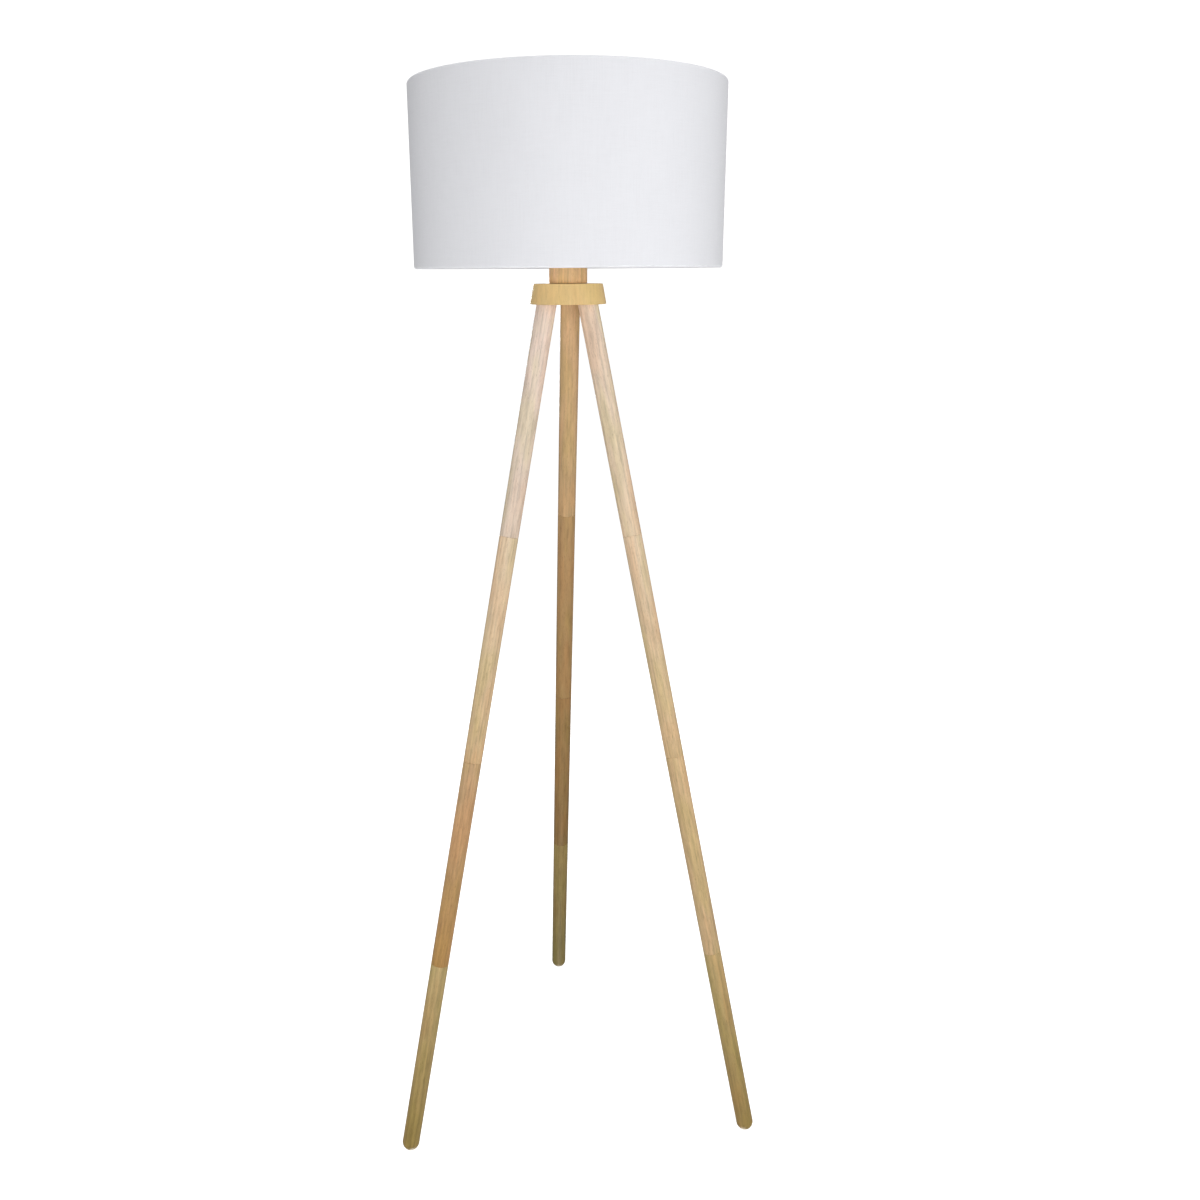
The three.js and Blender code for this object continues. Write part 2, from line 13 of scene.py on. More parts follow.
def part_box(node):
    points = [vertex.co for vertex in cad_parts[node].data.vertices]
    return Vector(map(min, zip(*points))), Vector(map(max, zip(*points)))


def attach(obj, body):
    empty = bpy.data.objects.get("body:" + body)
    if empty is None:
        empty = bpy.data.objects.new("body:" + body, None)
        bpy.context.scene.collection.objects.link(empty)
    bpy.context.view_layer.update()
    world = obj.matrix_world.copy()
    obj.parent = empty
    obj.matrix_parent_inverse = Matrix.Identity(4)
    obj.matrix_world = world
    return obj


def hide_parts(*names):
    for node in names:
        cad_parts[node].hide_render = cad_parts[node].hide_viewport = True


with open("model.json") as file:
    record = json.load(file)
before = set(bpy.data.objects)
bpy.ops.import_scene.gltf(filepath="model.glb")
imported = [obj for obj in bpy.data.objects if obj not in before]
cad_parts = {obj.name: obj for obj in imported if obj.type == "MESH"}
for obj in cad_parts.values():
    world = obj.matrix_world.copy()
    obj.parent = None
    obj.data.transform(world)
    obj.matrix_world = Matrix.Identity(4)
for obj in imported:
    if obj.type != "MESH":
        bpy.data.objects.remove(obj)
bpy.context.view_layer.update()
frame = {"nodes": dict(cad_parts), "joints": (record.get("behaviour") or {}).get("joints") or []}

MM = 0.001
GAP = 0.3 * MM  # the clearance that pieces which touch keep
SAME = 0.01 * MM  # points closer than this in radius are on one wall
SPREAD = 0.05 * MM  # how far the CAD's corners may be from the measure they share
UP = Vector((0, 0, 1))
LEGS = ("leg_back", "leg_left", "leg_right")
JOINTS = {joint["name"]: joint for joint in frame["joints"]}
AXIS = Vector((*JOINTS["shade_turn"]["pos_m"][:2], 0))  # foot of the lamp's own axis


# ---- Camera ----

CAMERA_DISTANCE = 1.5194  # from the lamp's axis, on the level
CAMERA_HEIGHT = 1.2463
CAMERA_AZIMUTH = math.radians(-4.58)  # about the lamp's axis, from straight in front
CAMERA_AIM = math.radians(-0.30)  # its heading, from straight at that axis
CAMERA_PITCH = math.radians(-16.42)
CAMERA_ROLL = math.radians(-0.33)
CAMERA_LENS = 33.37  # mm, on a sensor 36 mm wide
CAMERA_SHIFT = 0.030


def add_camera():
    data = bpy.data.cameras.new("photo_camera")
    data.lens = CAMERA_LENS
    data.sensor_width = 36
    data.shift_x = CAMERA_SHIFT
    camera = bpy.data.objects.new("photo_camera", data)
    bpy.context.scene.collection.objects.link(camera)
    in_front = Vector((0, -CAMERA_DISTANCE, CAMERA_HEIGHT))
    stand = Matrix.Rotation(CAMERA_AZIMUTH, 3, "Z") @ in_front
    heading = Matrix.Rotation(CAMERA_AZIMUTH - CAMERA_AIM, 3, "Z")
    tilt = Matrix.Rotation(math.pi / 2 + CAMERA_PITCH, 3, "X")
    turn = heading @ tilt @ Matrix.Rotation(CAMERA_ROLL, 3, "Z")
    camera.matrix_world = Matrix.Translation(AXIS + stand) @ turn.to_4x4()
    bpy.context.scene.camera = camera


# ---- Outlines of turned pieces, as (radius, height) points ----

MOST_ROUNDED = 0.45  # the share of each side that a rounded corner may take


def arc(r, z, radius, start, end, count, squash=1.0):
    """An arc about (r, z), from one angle to another, in degrees from the +r direction."""
    angles = [math.radians(start + (end - start) * i / count) for i in range(count + 1)]
    return [(r + radius * math.cos(a), z + squash * radius * math.sin(a)) for a in angles]


def rounded(points, radius, count=4):
    """The outline with each corner between its two ends rounded off."""
    out = [tuple(points[0])]
    for before, corner, after in zip(points, points[1:], points[2:]):
        corner = Vector(corner)
        back, on = Vector(before) - corner, Vector(after) - corner
        reach = min(radius, back.length * MOST_ROUNDED, on.length * MOST_ROUNDED)
        start, end = corner + back.normalized() * reach, corner + on.normalized() * reach
        for i in range(count + 1):
            t = i / count
            out.append(tuple(start * (1 - t) ** 2 + corner * 2 * t * (1 - t) + end * t**2))
    return out + [tuple(points[-1])]


def looped(corners, radius, count=4):
    """A closed outline with all of its corners rounded."""
    start = tuple((Vector(corners[0]) + Vector(corners[-1])) / 2)
    return rounded([start, *corners, start], radius, count)


def rod_outline(radius, low, high):
    return [(0, low), (radius, low), (radius, high), (0, high)]


def tube_outline(inner, outer, low, high, edge):
    return looped([(inner, low), (outer, low), (outer, high), (inner, high)], edge)


def flanged_outline(radii, heights, edge, count=4):
    """A tube with a flange at its lower end, from three radii and three heights."""
    bore, wall, flange = radii
    low, step, high = heights
    corners = [(bore, low), (flange, low), (flange, step), (wall, step), (wall, high), (bore, high)]
    return looped(corners, edge, count)


def subdivided(outline, radius, spacing):
    """The outline with its upright stretch at one radius cut into short steps."""
    out = [outline[0]]
    for (r0, z0), (r1, z1) in zip(outline, outline[1:]):
        on_wall = max(abs(r0 - radius), abs(r1 - radius)) < SAME
        count = max(1, round(abs(z1 - z0) / spacing)) if on_wall else 1
        for i in range(1, count + 1):
            out.append((r0 + (r1 - r0) * i / count, z0 + (z1 - z0) * i / count))
    return out


def sheet_outline(line, thickness):
    """A closed outline round a sheet's centre line."""
    points = [Vector(p) for p in line]
    left, right = [], []
    for i, point in enumerate(points):
        along = points[min(i + 1, len(points) - 1)] - points[max(i - 1, 0)]
        across = Vector((along.y, -along.x)).normalized() * (thickness / 2)
        left.append(tuple(point + across))
        right.append(tuple(point - across))
    return left + right[::-1] + [left[0]]


# ---- Meshes ----

SMOOTH_ANGLE = math.radians(32)
SIDES = 96
THREAD_STEPS = 8  # rows of faces in one turn of a thread
RIB_ROWS = 12
WIRE_SIDES = 14
SMALL_SIDES = 32


def smoothed(mesh):
    mesh.shade_smooth()
    mesh.set_sharp_from_angle(angle=SMOOTH_ANGLE)


def link_mesh(name, verts, faces):
    mesh = bpy.data.meshes.new(name)
    mesh.from_pydata(verts, [], faces)
    smoothed(mesh)
    piece = bpy.data.objects.new(name, mesh)
    bpy.context.scene.collection.objects.link(piece)
    return piece


def skin_between(rings, closed):
    """Faces between rings of vertex numbers. A ring of one vertex is a pole."""
    faces = []
    for low, high in zip(rings, rings[1:] + (rings[:1] if closed else [])):
        if len(low) == len(high) == 1:
            continue
        for i in range(max(len(low), len(high))):
            below = low[i % len(low)], low[(i + 1) % len(low)]
            above = high[(i + 1) % len(high)], high[i % len(high)]
            faces.append(tuple(dict.fromkeys(below + above)))
    return faces


def even_angles(count):
    return [2 * math.pi * i / count for i in range(count)]


def turned(name, outline, sides=SIDES, radius_at=None):
    """A piece turned about its own Z from an outline that runs up its outside, and that
    starts and ends on the axis or closes on itself. sides is a number, or a list of
    angles. radius_at(radius, height, angle) may change the radius from place to place."""
    closed = outline[0] == outline[-1]
    angles = sides if isinstance(sides, list) else even_angles(sides)
    verts, rings = [], []
    for r, z in outline[:-1] if closed else outline:
        if r < SAME / 10:
            rings.append([len(verts)])
            verts.append((0, 0, z))
            continue
        rings.append(list(range(len(verts), len(verts) + len(angles))))
        for angle in angles:
            radius = radius_at(r, z, angle) if radius_at else r
            verts.append((radius * math.cos(angle), radius * math.sin(angle), z))
    return link_mesh(name, verts, skin_between(rings, closed))


def thread(radius, depth, pitch, low, high):
    """A radius_at for a rounded screw thread in the wall at one radius. A negative depth
    cuts an inside thread into a bore."""

    def radius_at(r, z, angle):
        if abs(r - radius) > SAME:
            return r
        fade = max(0, min(1, (z - low) / pitch, (high - z) / pitch))
        turn = z / pitch * 2 * math.pi - angle
        return r - depth * fade * (0.5 - 0.5 * math.cos(turn))

    return radius_at


def threaded(name, outline, radius, depth, pitch, sides=SIDES // 2):
    """A turned piece with a screw thread along its wall at one radius."""
    heights = [z for r, z in outline if abs(r - radius) < SAME]
    cutter = thread(radius, depth, pitch, min(heights), max(heights))
    return turned(name, subdivided(outline, radius, pitch / THREAD_STEPS), sides, cutter)


def ribbed(name, outline, radius, depth, count, low, high, sides):
    """A turned piece with upright grip ribs in its wall at one radius."""

    def radius_at(r, z, angle):
        inside = abs(r - radius) < SAME and low < z < high
        return r - depth * (0.5 - 0.5 * math.cos(count * angle)) ** 2 if inside else r

    return turned(name, subdivided(outline, radius, (high - low) / RIB_ROWS), sides, radius_at)


def swept(name, centres, radius, sides=WIRE_SIDES, closed=False):
    """A round wire along a line of points."""
    points = [Vector(p) for p in centres]
    last = len(points) - 1
    verts, rings = [], []
    for i, point in enumerate(points):
        before = points[i - 1 if closed else max(i - 1, 0)]
        after = points[(i + 1) % len(points) if closed else min(i + 1, last)]
        along = (after - before).normalized()
        side = along.cross(UP).normalized()
        up = along.cross(side)
        rings.append(list(range(len(verts), len(verts) + sides)))
        for k in range(sides):
            angle = 2 * math.pi * k / sides
            verts.append(point + radius * (math.cos(angle) * side + math.sin(angle) * up))
    faces = skin_between(rings, closed)
    if not closed:
        faces += [tuple(reversed(rings[0])), tuple(rings[-1])]
    return link_mesh(name, verts, faces)


def on_circle(radius, angle, height):
    return (radius * math.cos(angle), radius * math.sin(angle), height)


def combined(piece, tools, operation):
    """Cuts other meshes out of a piece, joins them to it, or keeps what they share."""
    for tool in tools:
        modifier = piece.modifiers.new("combine", "BOOLEAN")
        modifier.object = tool
        modifier.operation = operation
        modifier.solver = "MANIFOLD"
    bpy.context.view_layer.update()
    graph = bpy.context.evaluated_depsgraph_get()
    mesh = bpy.data.meshes.new_from_object(piece.evaluated_get(graph))
    piece.modifiers.clear()
    piece.data = mesh
    smoothed(mesh)
    for tool in tools:
        bpy.data.objects.remove(tool)
    return piece


def block(centre, size):
    """A plain block to cut with."""
    bpy.ops.mesh.primitive_cube_add(size=1, location=centre)
    bpy.context.object.scale = size
    bpy.context.view_layer.update()
    return bpy.context.object


def cut(piece, *tools):
    return combined(piece, tools, "DIFFERENCE")


def joined(piece, *tools):
    return combined(piece, tools, "UNION")


def place(piece, origin=AXIS, direction=UP):
    """Stands a piece that was made along +Z at a point, along a direction."""
    turn = UP.rotation_difference(Vector(direction)).to_matrix().to_4x4()
    piece.matrix_world = Matrix.Translation(Vector(origin)) @ turn
    bpy.context.view_layer.update()
    return piece


def finished(piece, material, slot, body, *nodes):
    """Gives a piece its material; slot is not used. It rides on a body and stands for CAD nodes."""
    piece.data.materials.clear()
    piece.data.materials.append(material)
    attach(piece, body)
    if nodes:
        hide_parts(*nodes)
    return piece


# ---- Measures of the CAD nodes ----


def distinct(values):
    """The values from small to large, without those that repeat."""
    out = []
    for value in sorted(values):
        if not out or value - out[-1] > SPREAD:
            out.append(value)
    return out


def radii_and_heights(node, origin=AXIS, axis=UP):
    """The corners of a turned node as [(radius, height)], measured about an axis."""
    corners = []
    for vertex in frame["nodes"][node].data.vertices:
        offset = vertex.co - origin
        height = offset.dot(axis)
        corners.append(((offset - height * axis).length, height))
    return corners


def steps(node, origin=AXIS, axis=UP):
    """The different radii and the different heights of a turned node's corners."""
    corners = radii_and_heights(node, origin, axis)
    return distinct(r for r, _ in corners), distinct(z for _, z in corners)


def outline_of(node):
    """The outside of a turned node: the largest radius at each of its heights."""
    corners = radii_and_heights(node)
    out = []
    for level in steps(node)[1]:
        out.append((max(r for r, z in corners if abs(z - level) < SPREAD), level))
    return out


def upright(node):
    """The outer radius, lowest height and highest height of a node on the lamp's axis."""
    low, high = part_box(node)
    return (high.x - low.x) / 2, low.z, high.z


# ---- Materials ----


class Nodes:
    """A material's node tree, with a short call for each kind of node used here."""

    def __init__(self, name, **sockets):
        self.material = bpy.data.materials.new(name)
        self.material.use_nodes = True
        self.tree = self.material.node_tree
        self.shader = self.tree.nodes["Principled BSDF"]
        for socket, value in sockets.items():
            self.shader.inputs[socket.replace("_", " ")].default_value = value
        self.place = self.tree.nodes.new("ShaderNodeTexCoord").outputs["Object"]

    def put(self, socket, value):
        if isinstance(value, bpy.types.NodeSocket):
            self.tree.links.new(value, socket)
        elif socket.type == "RGBA":
            socket.default_value = (*value[:3], 1)
        else:
            socket.default_value = value

    def new(self, kind, **values):
        """A node, with the values of its sockets by name."""
        node = self.tree.nodes.new(kind)
        for name, value in values.items():
            self.put(node.inputs[name], value)
        return node

    def moved(self, location=(0, 0, 0), rotation=(0, 0, 0), scale=(1, 1, 1)):
        values = {"Vector": self.place, "Location": location, "Rotation": rotation, "Scale": scale}
        return self.new("ShaderNodeMapping", **values).outputs["Vector"]

    def noise(self, vector, size, detail=2.0, roughness=0.5):
        """Noise from 0 to 1 whose features are about one size across."""
        values = {"Vector": vector, "Scale": 1 / size, "Detail": detail, "Roughness": roughness}
        return self.new("ShaderNodeTexNoise", **values).outputs["Fac"]

    def rings(self, vector, spacing, distortion):
        """Growth rings about Z, each rising slowly and ending sharply."""
        scale = 2 * math.pi / (20 * spacing)  # at 1 the node draws 20 / 2 pi rings a metre
        values = {"Vector": vector, "Scale": scale, "Distortion": distortion, "Detail": 2.0}
        node = self.new("ShaderNodeTexWave", **values)
        node.wave_type = "RINGS"
        node.rings_direction = "Z"
        node.wave_profile = "SAW"
        return node.outputs["Fac"]

    def xyz(self):
        return self.new("ShaderNodeSeparateXYZ", Vector=self.place).outputs

    def math(self, operation, *values):
        node = self.tree.nodes.new("ShaderNodeMath")
        node.operation = operation
        for socket, value in zip(node.inputs, values):
            self.put(socket, value)
        return node.outputs[0]

    def between(self, value, low, high, to_low=0.0, to_high=1.0):
        """Stretches a range of values to another one, and holds it there."""
        node = self.tree.nodes.new("ShaderNodeMapRange")
        for socket, given in zip(node.inputs, (value, low, high, to_low, to_high)):
            self.put(socket, given)
        return node.outputs["Result"]

    def blend(self, *parts):
        """The sum of (share, value) pairs."""
        total = 0.0
        for share, value in parts:
            total = self.math("MULTIPLY_ADD", value, share, total)
        return total

    def ramp(self, value, *stops):
        """A smooth run of colours from (position, colour) stops."""
        node = self.new("ShaderNodeValToRGB", Fac=value)
        elements = node.color_ramp.elements
        while len(elements) < len(stops):
            elements.new(0.5)
        for element, (position, colour) in zip(elements, stops):
            element.position = position
            element.color = (*colour, 1)
        return node.outputs["Color"]

    def mix(self, factor, a, b, kind="MIX"):
        node = self.tree.nodes.new("ShaderNodeMix")
        node.data_type = "RGBA"
        node.blend_type = kind
        for i, value in zip((0, 6, 7), (factor, a, b)):
            self.put(node.inputs[i], value)
        return node.outputs[2]

    def finish(self, colour, roughness, relief, depth):
        """Links colour, roughness and a bump map of a real depth."""
        self.put(self.shader.inputs["Base Color"], colour)
        self.put(self.shader.inputs["Roughness"], roughness)
        node = self.new("ShaderNodeBump", Distance=depth, Height=relief)
        self.tree.links.new(node.outputs["Normal"], self.shader.inputs["Normal"])
        return self.material


def tinted(colour, *factors):
    """The colour times one factor, or times one factor for each channel."""
    factors = factors if len(factors) == 3 else factors * 3
    return tuple(min(1.0, c * f) for c, f in zip(colour, factors))


ROSY = (1.0, 0.93, 0.89)  # these four multiply the wood's tone
EVEN = (0.98, 0.98, 0.98)
OLIVE = (0.93, 0.96, 0.86)
PORE = (0.5, 0.42, 0.36)
RING_SPACING = 4.2 * MM


def wood(name, tone, seed, lying=False, figure=1.0, span=(0, 1), far_tone_and_painted_light=None):
    """Satin rubberwood, with its grain along the piece's own Z, or level. seed takes the
    piece from another place in the tree, and figure is the strength of its markings. The
    tone runs to the far tone, where there is one, over a span of Z: on the legs this is
    painted shade towards the lower end and painted sheen towards the upper end."""
    n = Nodes(name, Specular_IOR_Level=0.28)
    off_centre = (0.05 + 0.013 * (seed % 4), 0.04 * math.sin(seed), 0.41 * seed)
    tilt = (math.pi / 2, 0, 0.4) if lying else (0.02 * math.sin(2.1 * seed), 0.015, seed)
    growth = n.rings(n.moved(off_centre, tilt, (1, 1, 0.05)), RING_SPACING, 2.4)

    def drawn_out(length):
        """Places for markings that are drawn out along the grain."""
        return n.moved(off_centre, tilt, (1, 1, 1 / length))

    bands = n.noise(drawn_out(8), 5 * MM, 3.0, 0.55)
    flecks = n.noise(drawn_out(8), 1.8 * MM, 2.0, 0.6)
    fibres = n.noise(drawn_out(16), 0.5 * MM, 2.0)
    pores = n.between(n.noise(drawn_out(11), 0.55 * MM, 1.0), 0.645, 0.71)
    cloud = n.noise(drawn_out(4), 26 * MM, 2.0)
    body = n.blend((0.12, growth), (0.56, bands), (0.22, flecks), (0.1, fibres))
    dark, plain, light = 1 - 0.3 * figure, 1.0, 1 + 0.2 * figure
    shades = [(v / light,) * 3 for v in (dark, plain, light)]
    near, far = tinted(tone, light), tinted(far_tone_and_painted_light or tone, light)
    # on the legs this run from the lower to the upper end is painted shade and painted sheen
    ground = n.mix(n.between(n.xyz()["Z"], *span), near, far)
    figured = n.ramp(body, (0.3, shades[0]), (0.5, shades[1]), (0.7, shades[2]))
    colour = n.mix(1.0, ground, figured, "MULTIPLY")
    hue = n.ramp(cloud, (0.36, ROSY), (0.5, EVEN), (0.64, OLIVE))
    colour = n.mix(figure, colour, hue, "MULTIPLY")
    colour = n.mix(n.math("MULTIPLY", pores, 0.55 * figure), colour, PORE, "MULTIPLY")
    relief = n.blend((0.35, fibres), (-0.9, pores), (0.25, growth))
    return n.finish(colour, n.between(flecks, 0.3, 0.7, 0.4, 0.54), relief, 0.05 * MM)


CLOTH_WHITE = (0.855, 0.86, 0.895)
THREAD_PITCH = 0.75 * MM


def weave():
    """Plain white cotton weave round a drum, with threads that swell and thin out."""
    n = Nodes("white_weave", Sheen_Weight=0.12, Sheen_Roughness=0.6)
    x, y, z = n.xyz()
    girth = 2 * math.pi * upright("shade_skin")[0]
    round_turns = n.math("DIVIDE", n.math("ARCTAN2", y, x), 2 * math.pi)
    across = n.math("MULTIPLY", round_turns, round(girth / THREAD_PITCH / 2) * 2)
    along = n.math("DIVIDE", z, THREAD_PITCH)
    crossing = n.math("ADD", n.math("FLOOR", across), n.math("FLOOR", along))
    over = n.math("MULTIPLY", n.math("FRACT", n.math("MULTIPLY", crossing, 0.5)), 2)

    def crown(cells):
        """1 along the middle of each thread and 0 at its edges."""
        offset = n.math("MULTIPLY_ADD", n.math("FRACT", cells), 2, -1)
        return n.math("SUBTRACT", 1, n.math("MULTIPLY", offset, offset))

    warp, weft = crown(across), crown(along)
    warp_top = n.math("MULTIPLY", warp, n.math("MULTIPLY_ADD", weft, 0.5, 0.5))
    weft_top = n.math("MULTIPLY", weft, n.math("MULTIPLY_ADD", warp, 0.5, 0.5))
    lift = n.math("MULTIPLY_ADD", over, n.math("SUBTRACT", warp_top, weft_top), weft_top)
    warp_slubs = n.noise(n.moved(scale=(1, 1, 0.04)), 1.1 * MM, 2.0)
    weft_slubs = n.noise(n.moved(scale=(0.07, 0.07, 1)), 1.2 * MM, 2.0)
    wash = n.noise(n.place, 70 * MM, 2.0)
    threads = n.blend((0.34, lift), (0.3, warp_slubs), (0.22, weft_slubs), (0.14, wash))
    # the ramp paints shade into the dips between threads and a painted highlight on their crowns;
    # the slubs and the wash add the yarn's own uneven colour
    shadow, painted_crown_highlight = tinted(CLOTH_WHITE, 0.9), tinted(CLOTH_WHITE, 1.03)
    colour = n.ramp(threads, (0.22, shadow), (0.5, CLOTH_WHITE), (0.8, painted_crown_highlight))
    return n.finish(colour, n.between(threads, 0.2, 0.8, 0.95, 0.8), threads, 0.16 * MM)


def moulded(name, colour, roughness, peel_size=0.8 * MM, **sockets):
    """Moulded plastic, glaze or powder coat: fine orange peel, scuffs and slight soiling."""
    n = Nodes(name, **sockets)
    peel = n.noise(n.place, peel_size, 1.0)
    soil = n.noise(n.place, 12 * MM, 4.0, 0.6)
    scuffs = n.between(n.noise(n.moved(scale=(1, 0.12, 1)), 1.5 * MM, 3.0, 0.7), 0.62, 0.72)
    shades = n.ramp(soil, (0.3, tinted(colour, 0.96)), (0.7, tinted(colour, 1.02)))
    worn = n.blend((0.1, soil), (0.1, scuffs))
    return n.finish(shades, n.math("ADD", worn, roughness - 0.05), peel, 0.03 * MM)


def metal(name, colour, roughness):
    """Plated or drawn metal, with turning marks, fine scratches and a little tarnish."""
    n = Nodes(name, Metallic=1.0)
    turning = n.noise(n.moved(scale=(0.15, 0.15, 1)), 0.3 * MM, 2.0)
    scratches = n.between(n.noise(n.moved(scale=(1, 1, 0.1)), 0.5 * MM, 3.0, 0.7), 0.6, 0.75)
    tarnish = n.noise(n.place, 5 * MM, 4.0, 0.6)
    shades = n.ramp(tarnish, (0.3, tinted(colour, 0.8)), (0.7, tinted(colour, 1.05)))
    dull = n.blend((0.14, tarnish), (0.12, scratches))
    relief = n.blend((0.6, turning), (-0.6, scratches))
    return n.finish(shades, n.math("ADD", dull, roughness - 0.07), relief, 0.02 * MM)


WEAVE = weave()
STYRENE = moulded("white_styrene", (0.86, 0.86, 0.86), 0.35, 1.5 * MM)
POWDER_COAT = moulded("white_powder_coat", (0.82, 0.82, 0.81), 0.42)
BLACK_PLASTIC = moulded("black_plastic", (0.022, 0.022, 0.024), 0.36)
BLACK_GLASS = moulded("black_glass", (0.012, 0.012, 0.014), 0.14, 2 * MM)
CERAMIC = moulded("glazed_ceramic", (0.78, 0.75, 0.68), 0.2, 2 * MM, Coat_Weight=0.5)
WHITE_PLASTIC = moulded("white_plastic", (0.83, 0.83, 0.81), 0.34)
DIFFUSER = moulded("milky_diffuser", (0.9, 0.9, 0.88), 0.3, 3 * MM)
STEEL = metal("zinc_steel", (0.62, 0.63, 0.66), 0.34)
NICKEL = metal("nickel_cap", (0.76, 0.75, 0.72), 0.26)
BRASS = metal("plain_brass", (0.72, 0.53, 0.26), 0.32)


# ---- Legs ----

LEG_SIDES = 80
LEG_END_EDGE = 0.4 * MM
SEAM = 0.1 * MM  # what is left open where two sections are screwed up tight
STUD_EDGE = 0.7 * MM
STUD_PITCH, STUD_DEPTH = 1.25 * MM, 0.5 * MM  # of their threads
INSERT_PITCH, INSERT_DEPTH = 2.5 * MM, 0.6 * MM
INSERT_EDGE = 0.25 * MM
INSERT_SIDES = 40
FLOOR_CUTTER = 0.1  # the side of the block that flattens a foot
END_ZONE = 1.5 * MM
FOOT_STEPS = 24
SECTIONS = ("foot", "lower", "upper", "top", "hub")  # the last is what a leg screws into
# colours for the leg sections' ends: the wood's tone, with painted shade in the dark ones and
# painted sheen in the palest
LEG_PALETTE_WITH_PAINTED_LIGHT = {
    "rose": (0.86, 0.68, 0.58),
    "cream": (0.78, 0.63, 0.50),
    "sand": (0.77, 0.60, 0.41),
    "honey": (0.72, 0.51, 0.28),
    "tan": (0.64, 0.42, 0.23),
    "straw": (0.61, 0.45, 0.21),
    "russet": (0.58, 0.32, 0.12),
    "fawn": (0.55, 0.37, 0.19),
    "umber": (0.48, 0.30, 0.14),
    "moss": (0.44, 0.30, 0.10),
    "walnut": (0.41, 0.25, 0.10),
    "olive": (0.38, 0.27, 0.10),
    "bark": (0.30, 0.18, 0.06),
    "peat": (0.27, 0.21, 0.07),
}
LEG_ENDS_WITH_PAINTED_LIGHT = {
    # from the foot up, the colour at the lower and at the upper end of each section: the wood's own
    # tone with painted shade, darker towards the floor and on the back leg, and painted sheen,
    # paler towards the hub
    "leg_left": [("moss", "straw"), ("russet", "tan"), ("honey", "sand"), ("cream", "rose")],
    "leg_back": [("peat", "olive"), ("bark", "walnut"), ("walnut", "umber"), ("fawn", "tan")],
    "leg_right": [("moss", "straw"), ("honey", "honey"), ("honey", "sand"), ("sand", "cream")],
}


def leg_line(leg):
    """The centre of a leg's round foot, and the way up its axis."""
    joint = JOINTS[f"{leg}_turn"]
    return Vector(joint["pos_m"]), Vector(joint["axis"]).normalized()


def stud_measures(leg, section):
    """The radius, lowest height and highest height of a stud, on its leg's line."""
    corners = radii_and_heights(f"{leg}_{section}_stud", *leg_line(leg))
    heights = [z for _, z in corners]
    return max(r for r, _ in corners), min(heights), max(heights)


def stud_hole(leg, above, top):
    """The hole in a section's top end for the stud of the piece above it."""
    radius, bottom, _ = stud_measures(leg, above)
    return [(radius + GAP, top), (radius + GAP, bottom - GAP), (0, bottom - GAP)]


def insert_pocket(node, line, mouth):
    """The stepped pocket in an end face for an insert, from its ceiling to its mouth."""
    (_, body, flange), (low, step, high) = steps(node, *line)
    ceiling, ledge = high + 3 * GAP, step + GAP
    narrow, wide = body + GAP, flange + GAP
    return [(0, ceiling), (narrow, ceiling), (narrow, ledge), (wide, ledge), (wide, mouth)]


def end_radius(node, line, height):
    """The largest radius of a leg's section close to one height."""
    return max(r for r, z in radii_and_heights(node, *line) if abs(z - height) < END_ZONE)


def foot_section(leg):
    """The lowest section, with a round end that is flattened where it stands."""
    line = leg_line(leg)
    node = f"{leg}_foot_section"
    top = steps(node, *line)[1][-1]
    ball, upper = end_radius(node, line, 0), end_radius(node, line, top)
    hole = stud_hole(leg, "lower", top + GAP - SEAM)
    side = rounded([(ball, 0), (upper, hole[0][1]), hole[0]], LEG_END_EDGE)
    outline = arc(0, 0, ball, -90, 0, FOOT_STEPS) + side[1:] + hole[1:]
    piece = place(turned(f"{leg}_foot_wood", outline, LEG_SIDES), *line)
    floor = block((line[0].x, line[0].y, -FLOOR_CUTTER / 2), (FLOOR_CUTTER,) * 3)
    return cut(piece, floor)


def upper_section(leg, section, above):
    """A section that has an insert in its lower end and takes a stud in its upper end."""
    line = leg_line(leg)
    node = f"{leg}_{section}_section"
    heights = steps(node, *line)[1]
    low, top = heights[0], heights[-1]
    lower, upper = end_radius(node, line, low), end_radius(node, line, top)
    hole = stud_hole(leg, above, top + (GAP - SEAM if above != "hub" else 0))
    pocket = insert_pocket(f"{leg}_{section}_insert", line, low)
    side = rounded([pocket[-1], (lower, low), (upper, hole[0][1]), hole[0]], LEG_END_EDGE)
    outline = pocket[:-1] + side + hole[1:]
    return place(turned(f"{leg}_{section}_wood", outline, LEG_SIDES), *line)


def add_stud(leg, section):
    radius, low, high = stud_measures(leg, section)
    outline = rounded(rod_outline(radius, low, high), STUD_EDGE, 2)
    name = f"{leg}_{section}_thread"
    piece = threaded(name, outline, radius, STUD_DEPTH, STUD_PITCH, SMALL_SIDES)
    finished(place(piece, *leg_line(leg)), STEEL, "steel", leg, f"{leg}_{section}_stud")


def add_insert(leg, section, body):
    line = leg_line(leg)
    node = f"{leg}_{section}_insert"
    radii, heights = steps(node, *line)
    outline = flanged_outline(radii, heights, INSERT_EDGE, 2)
    name = f"{leg}_{section}_socket"
    piece = threaded(name, outline, radii[1], INSERT_DEPTH, INSERT_PITCH, INSERT_SIDES)
    finished(place(piece, *line), STEEL, "steel", body, node)


def add_legs():
    for i, leg in enumerate(LEGS):
        for j, ends in enumerate(LEG_ENDS_WITH_PAINTED_LIGHT[leg]):
            section, above = SECTIONS[j], SECTIONS[j + 1]
            piece = foot_section(leg) if j == 0 else upper_section(leg, section, above)
            heights = steps(f"{leg}_{section}_section", *leg_line(leg))[1]
            span = (heights[0], heights[-1])
            near, far = (LEG_PALETTE_WITH_PAINTED_LIGHT[tone] for tone in ends)
            seed = 4 * i + j
            material = wood(f"{leg}_{section}_wood", near, seed, span=span, far_tone_and_painted_light=far)
            finished(piece, material, "leg_wood", leg, f"{leg}_{section}_section")
            add_stud(leg, above)
            add_insert(leg, above, "stand" if above == "hub" else leg)


# ---- Hub, neck and tube ----

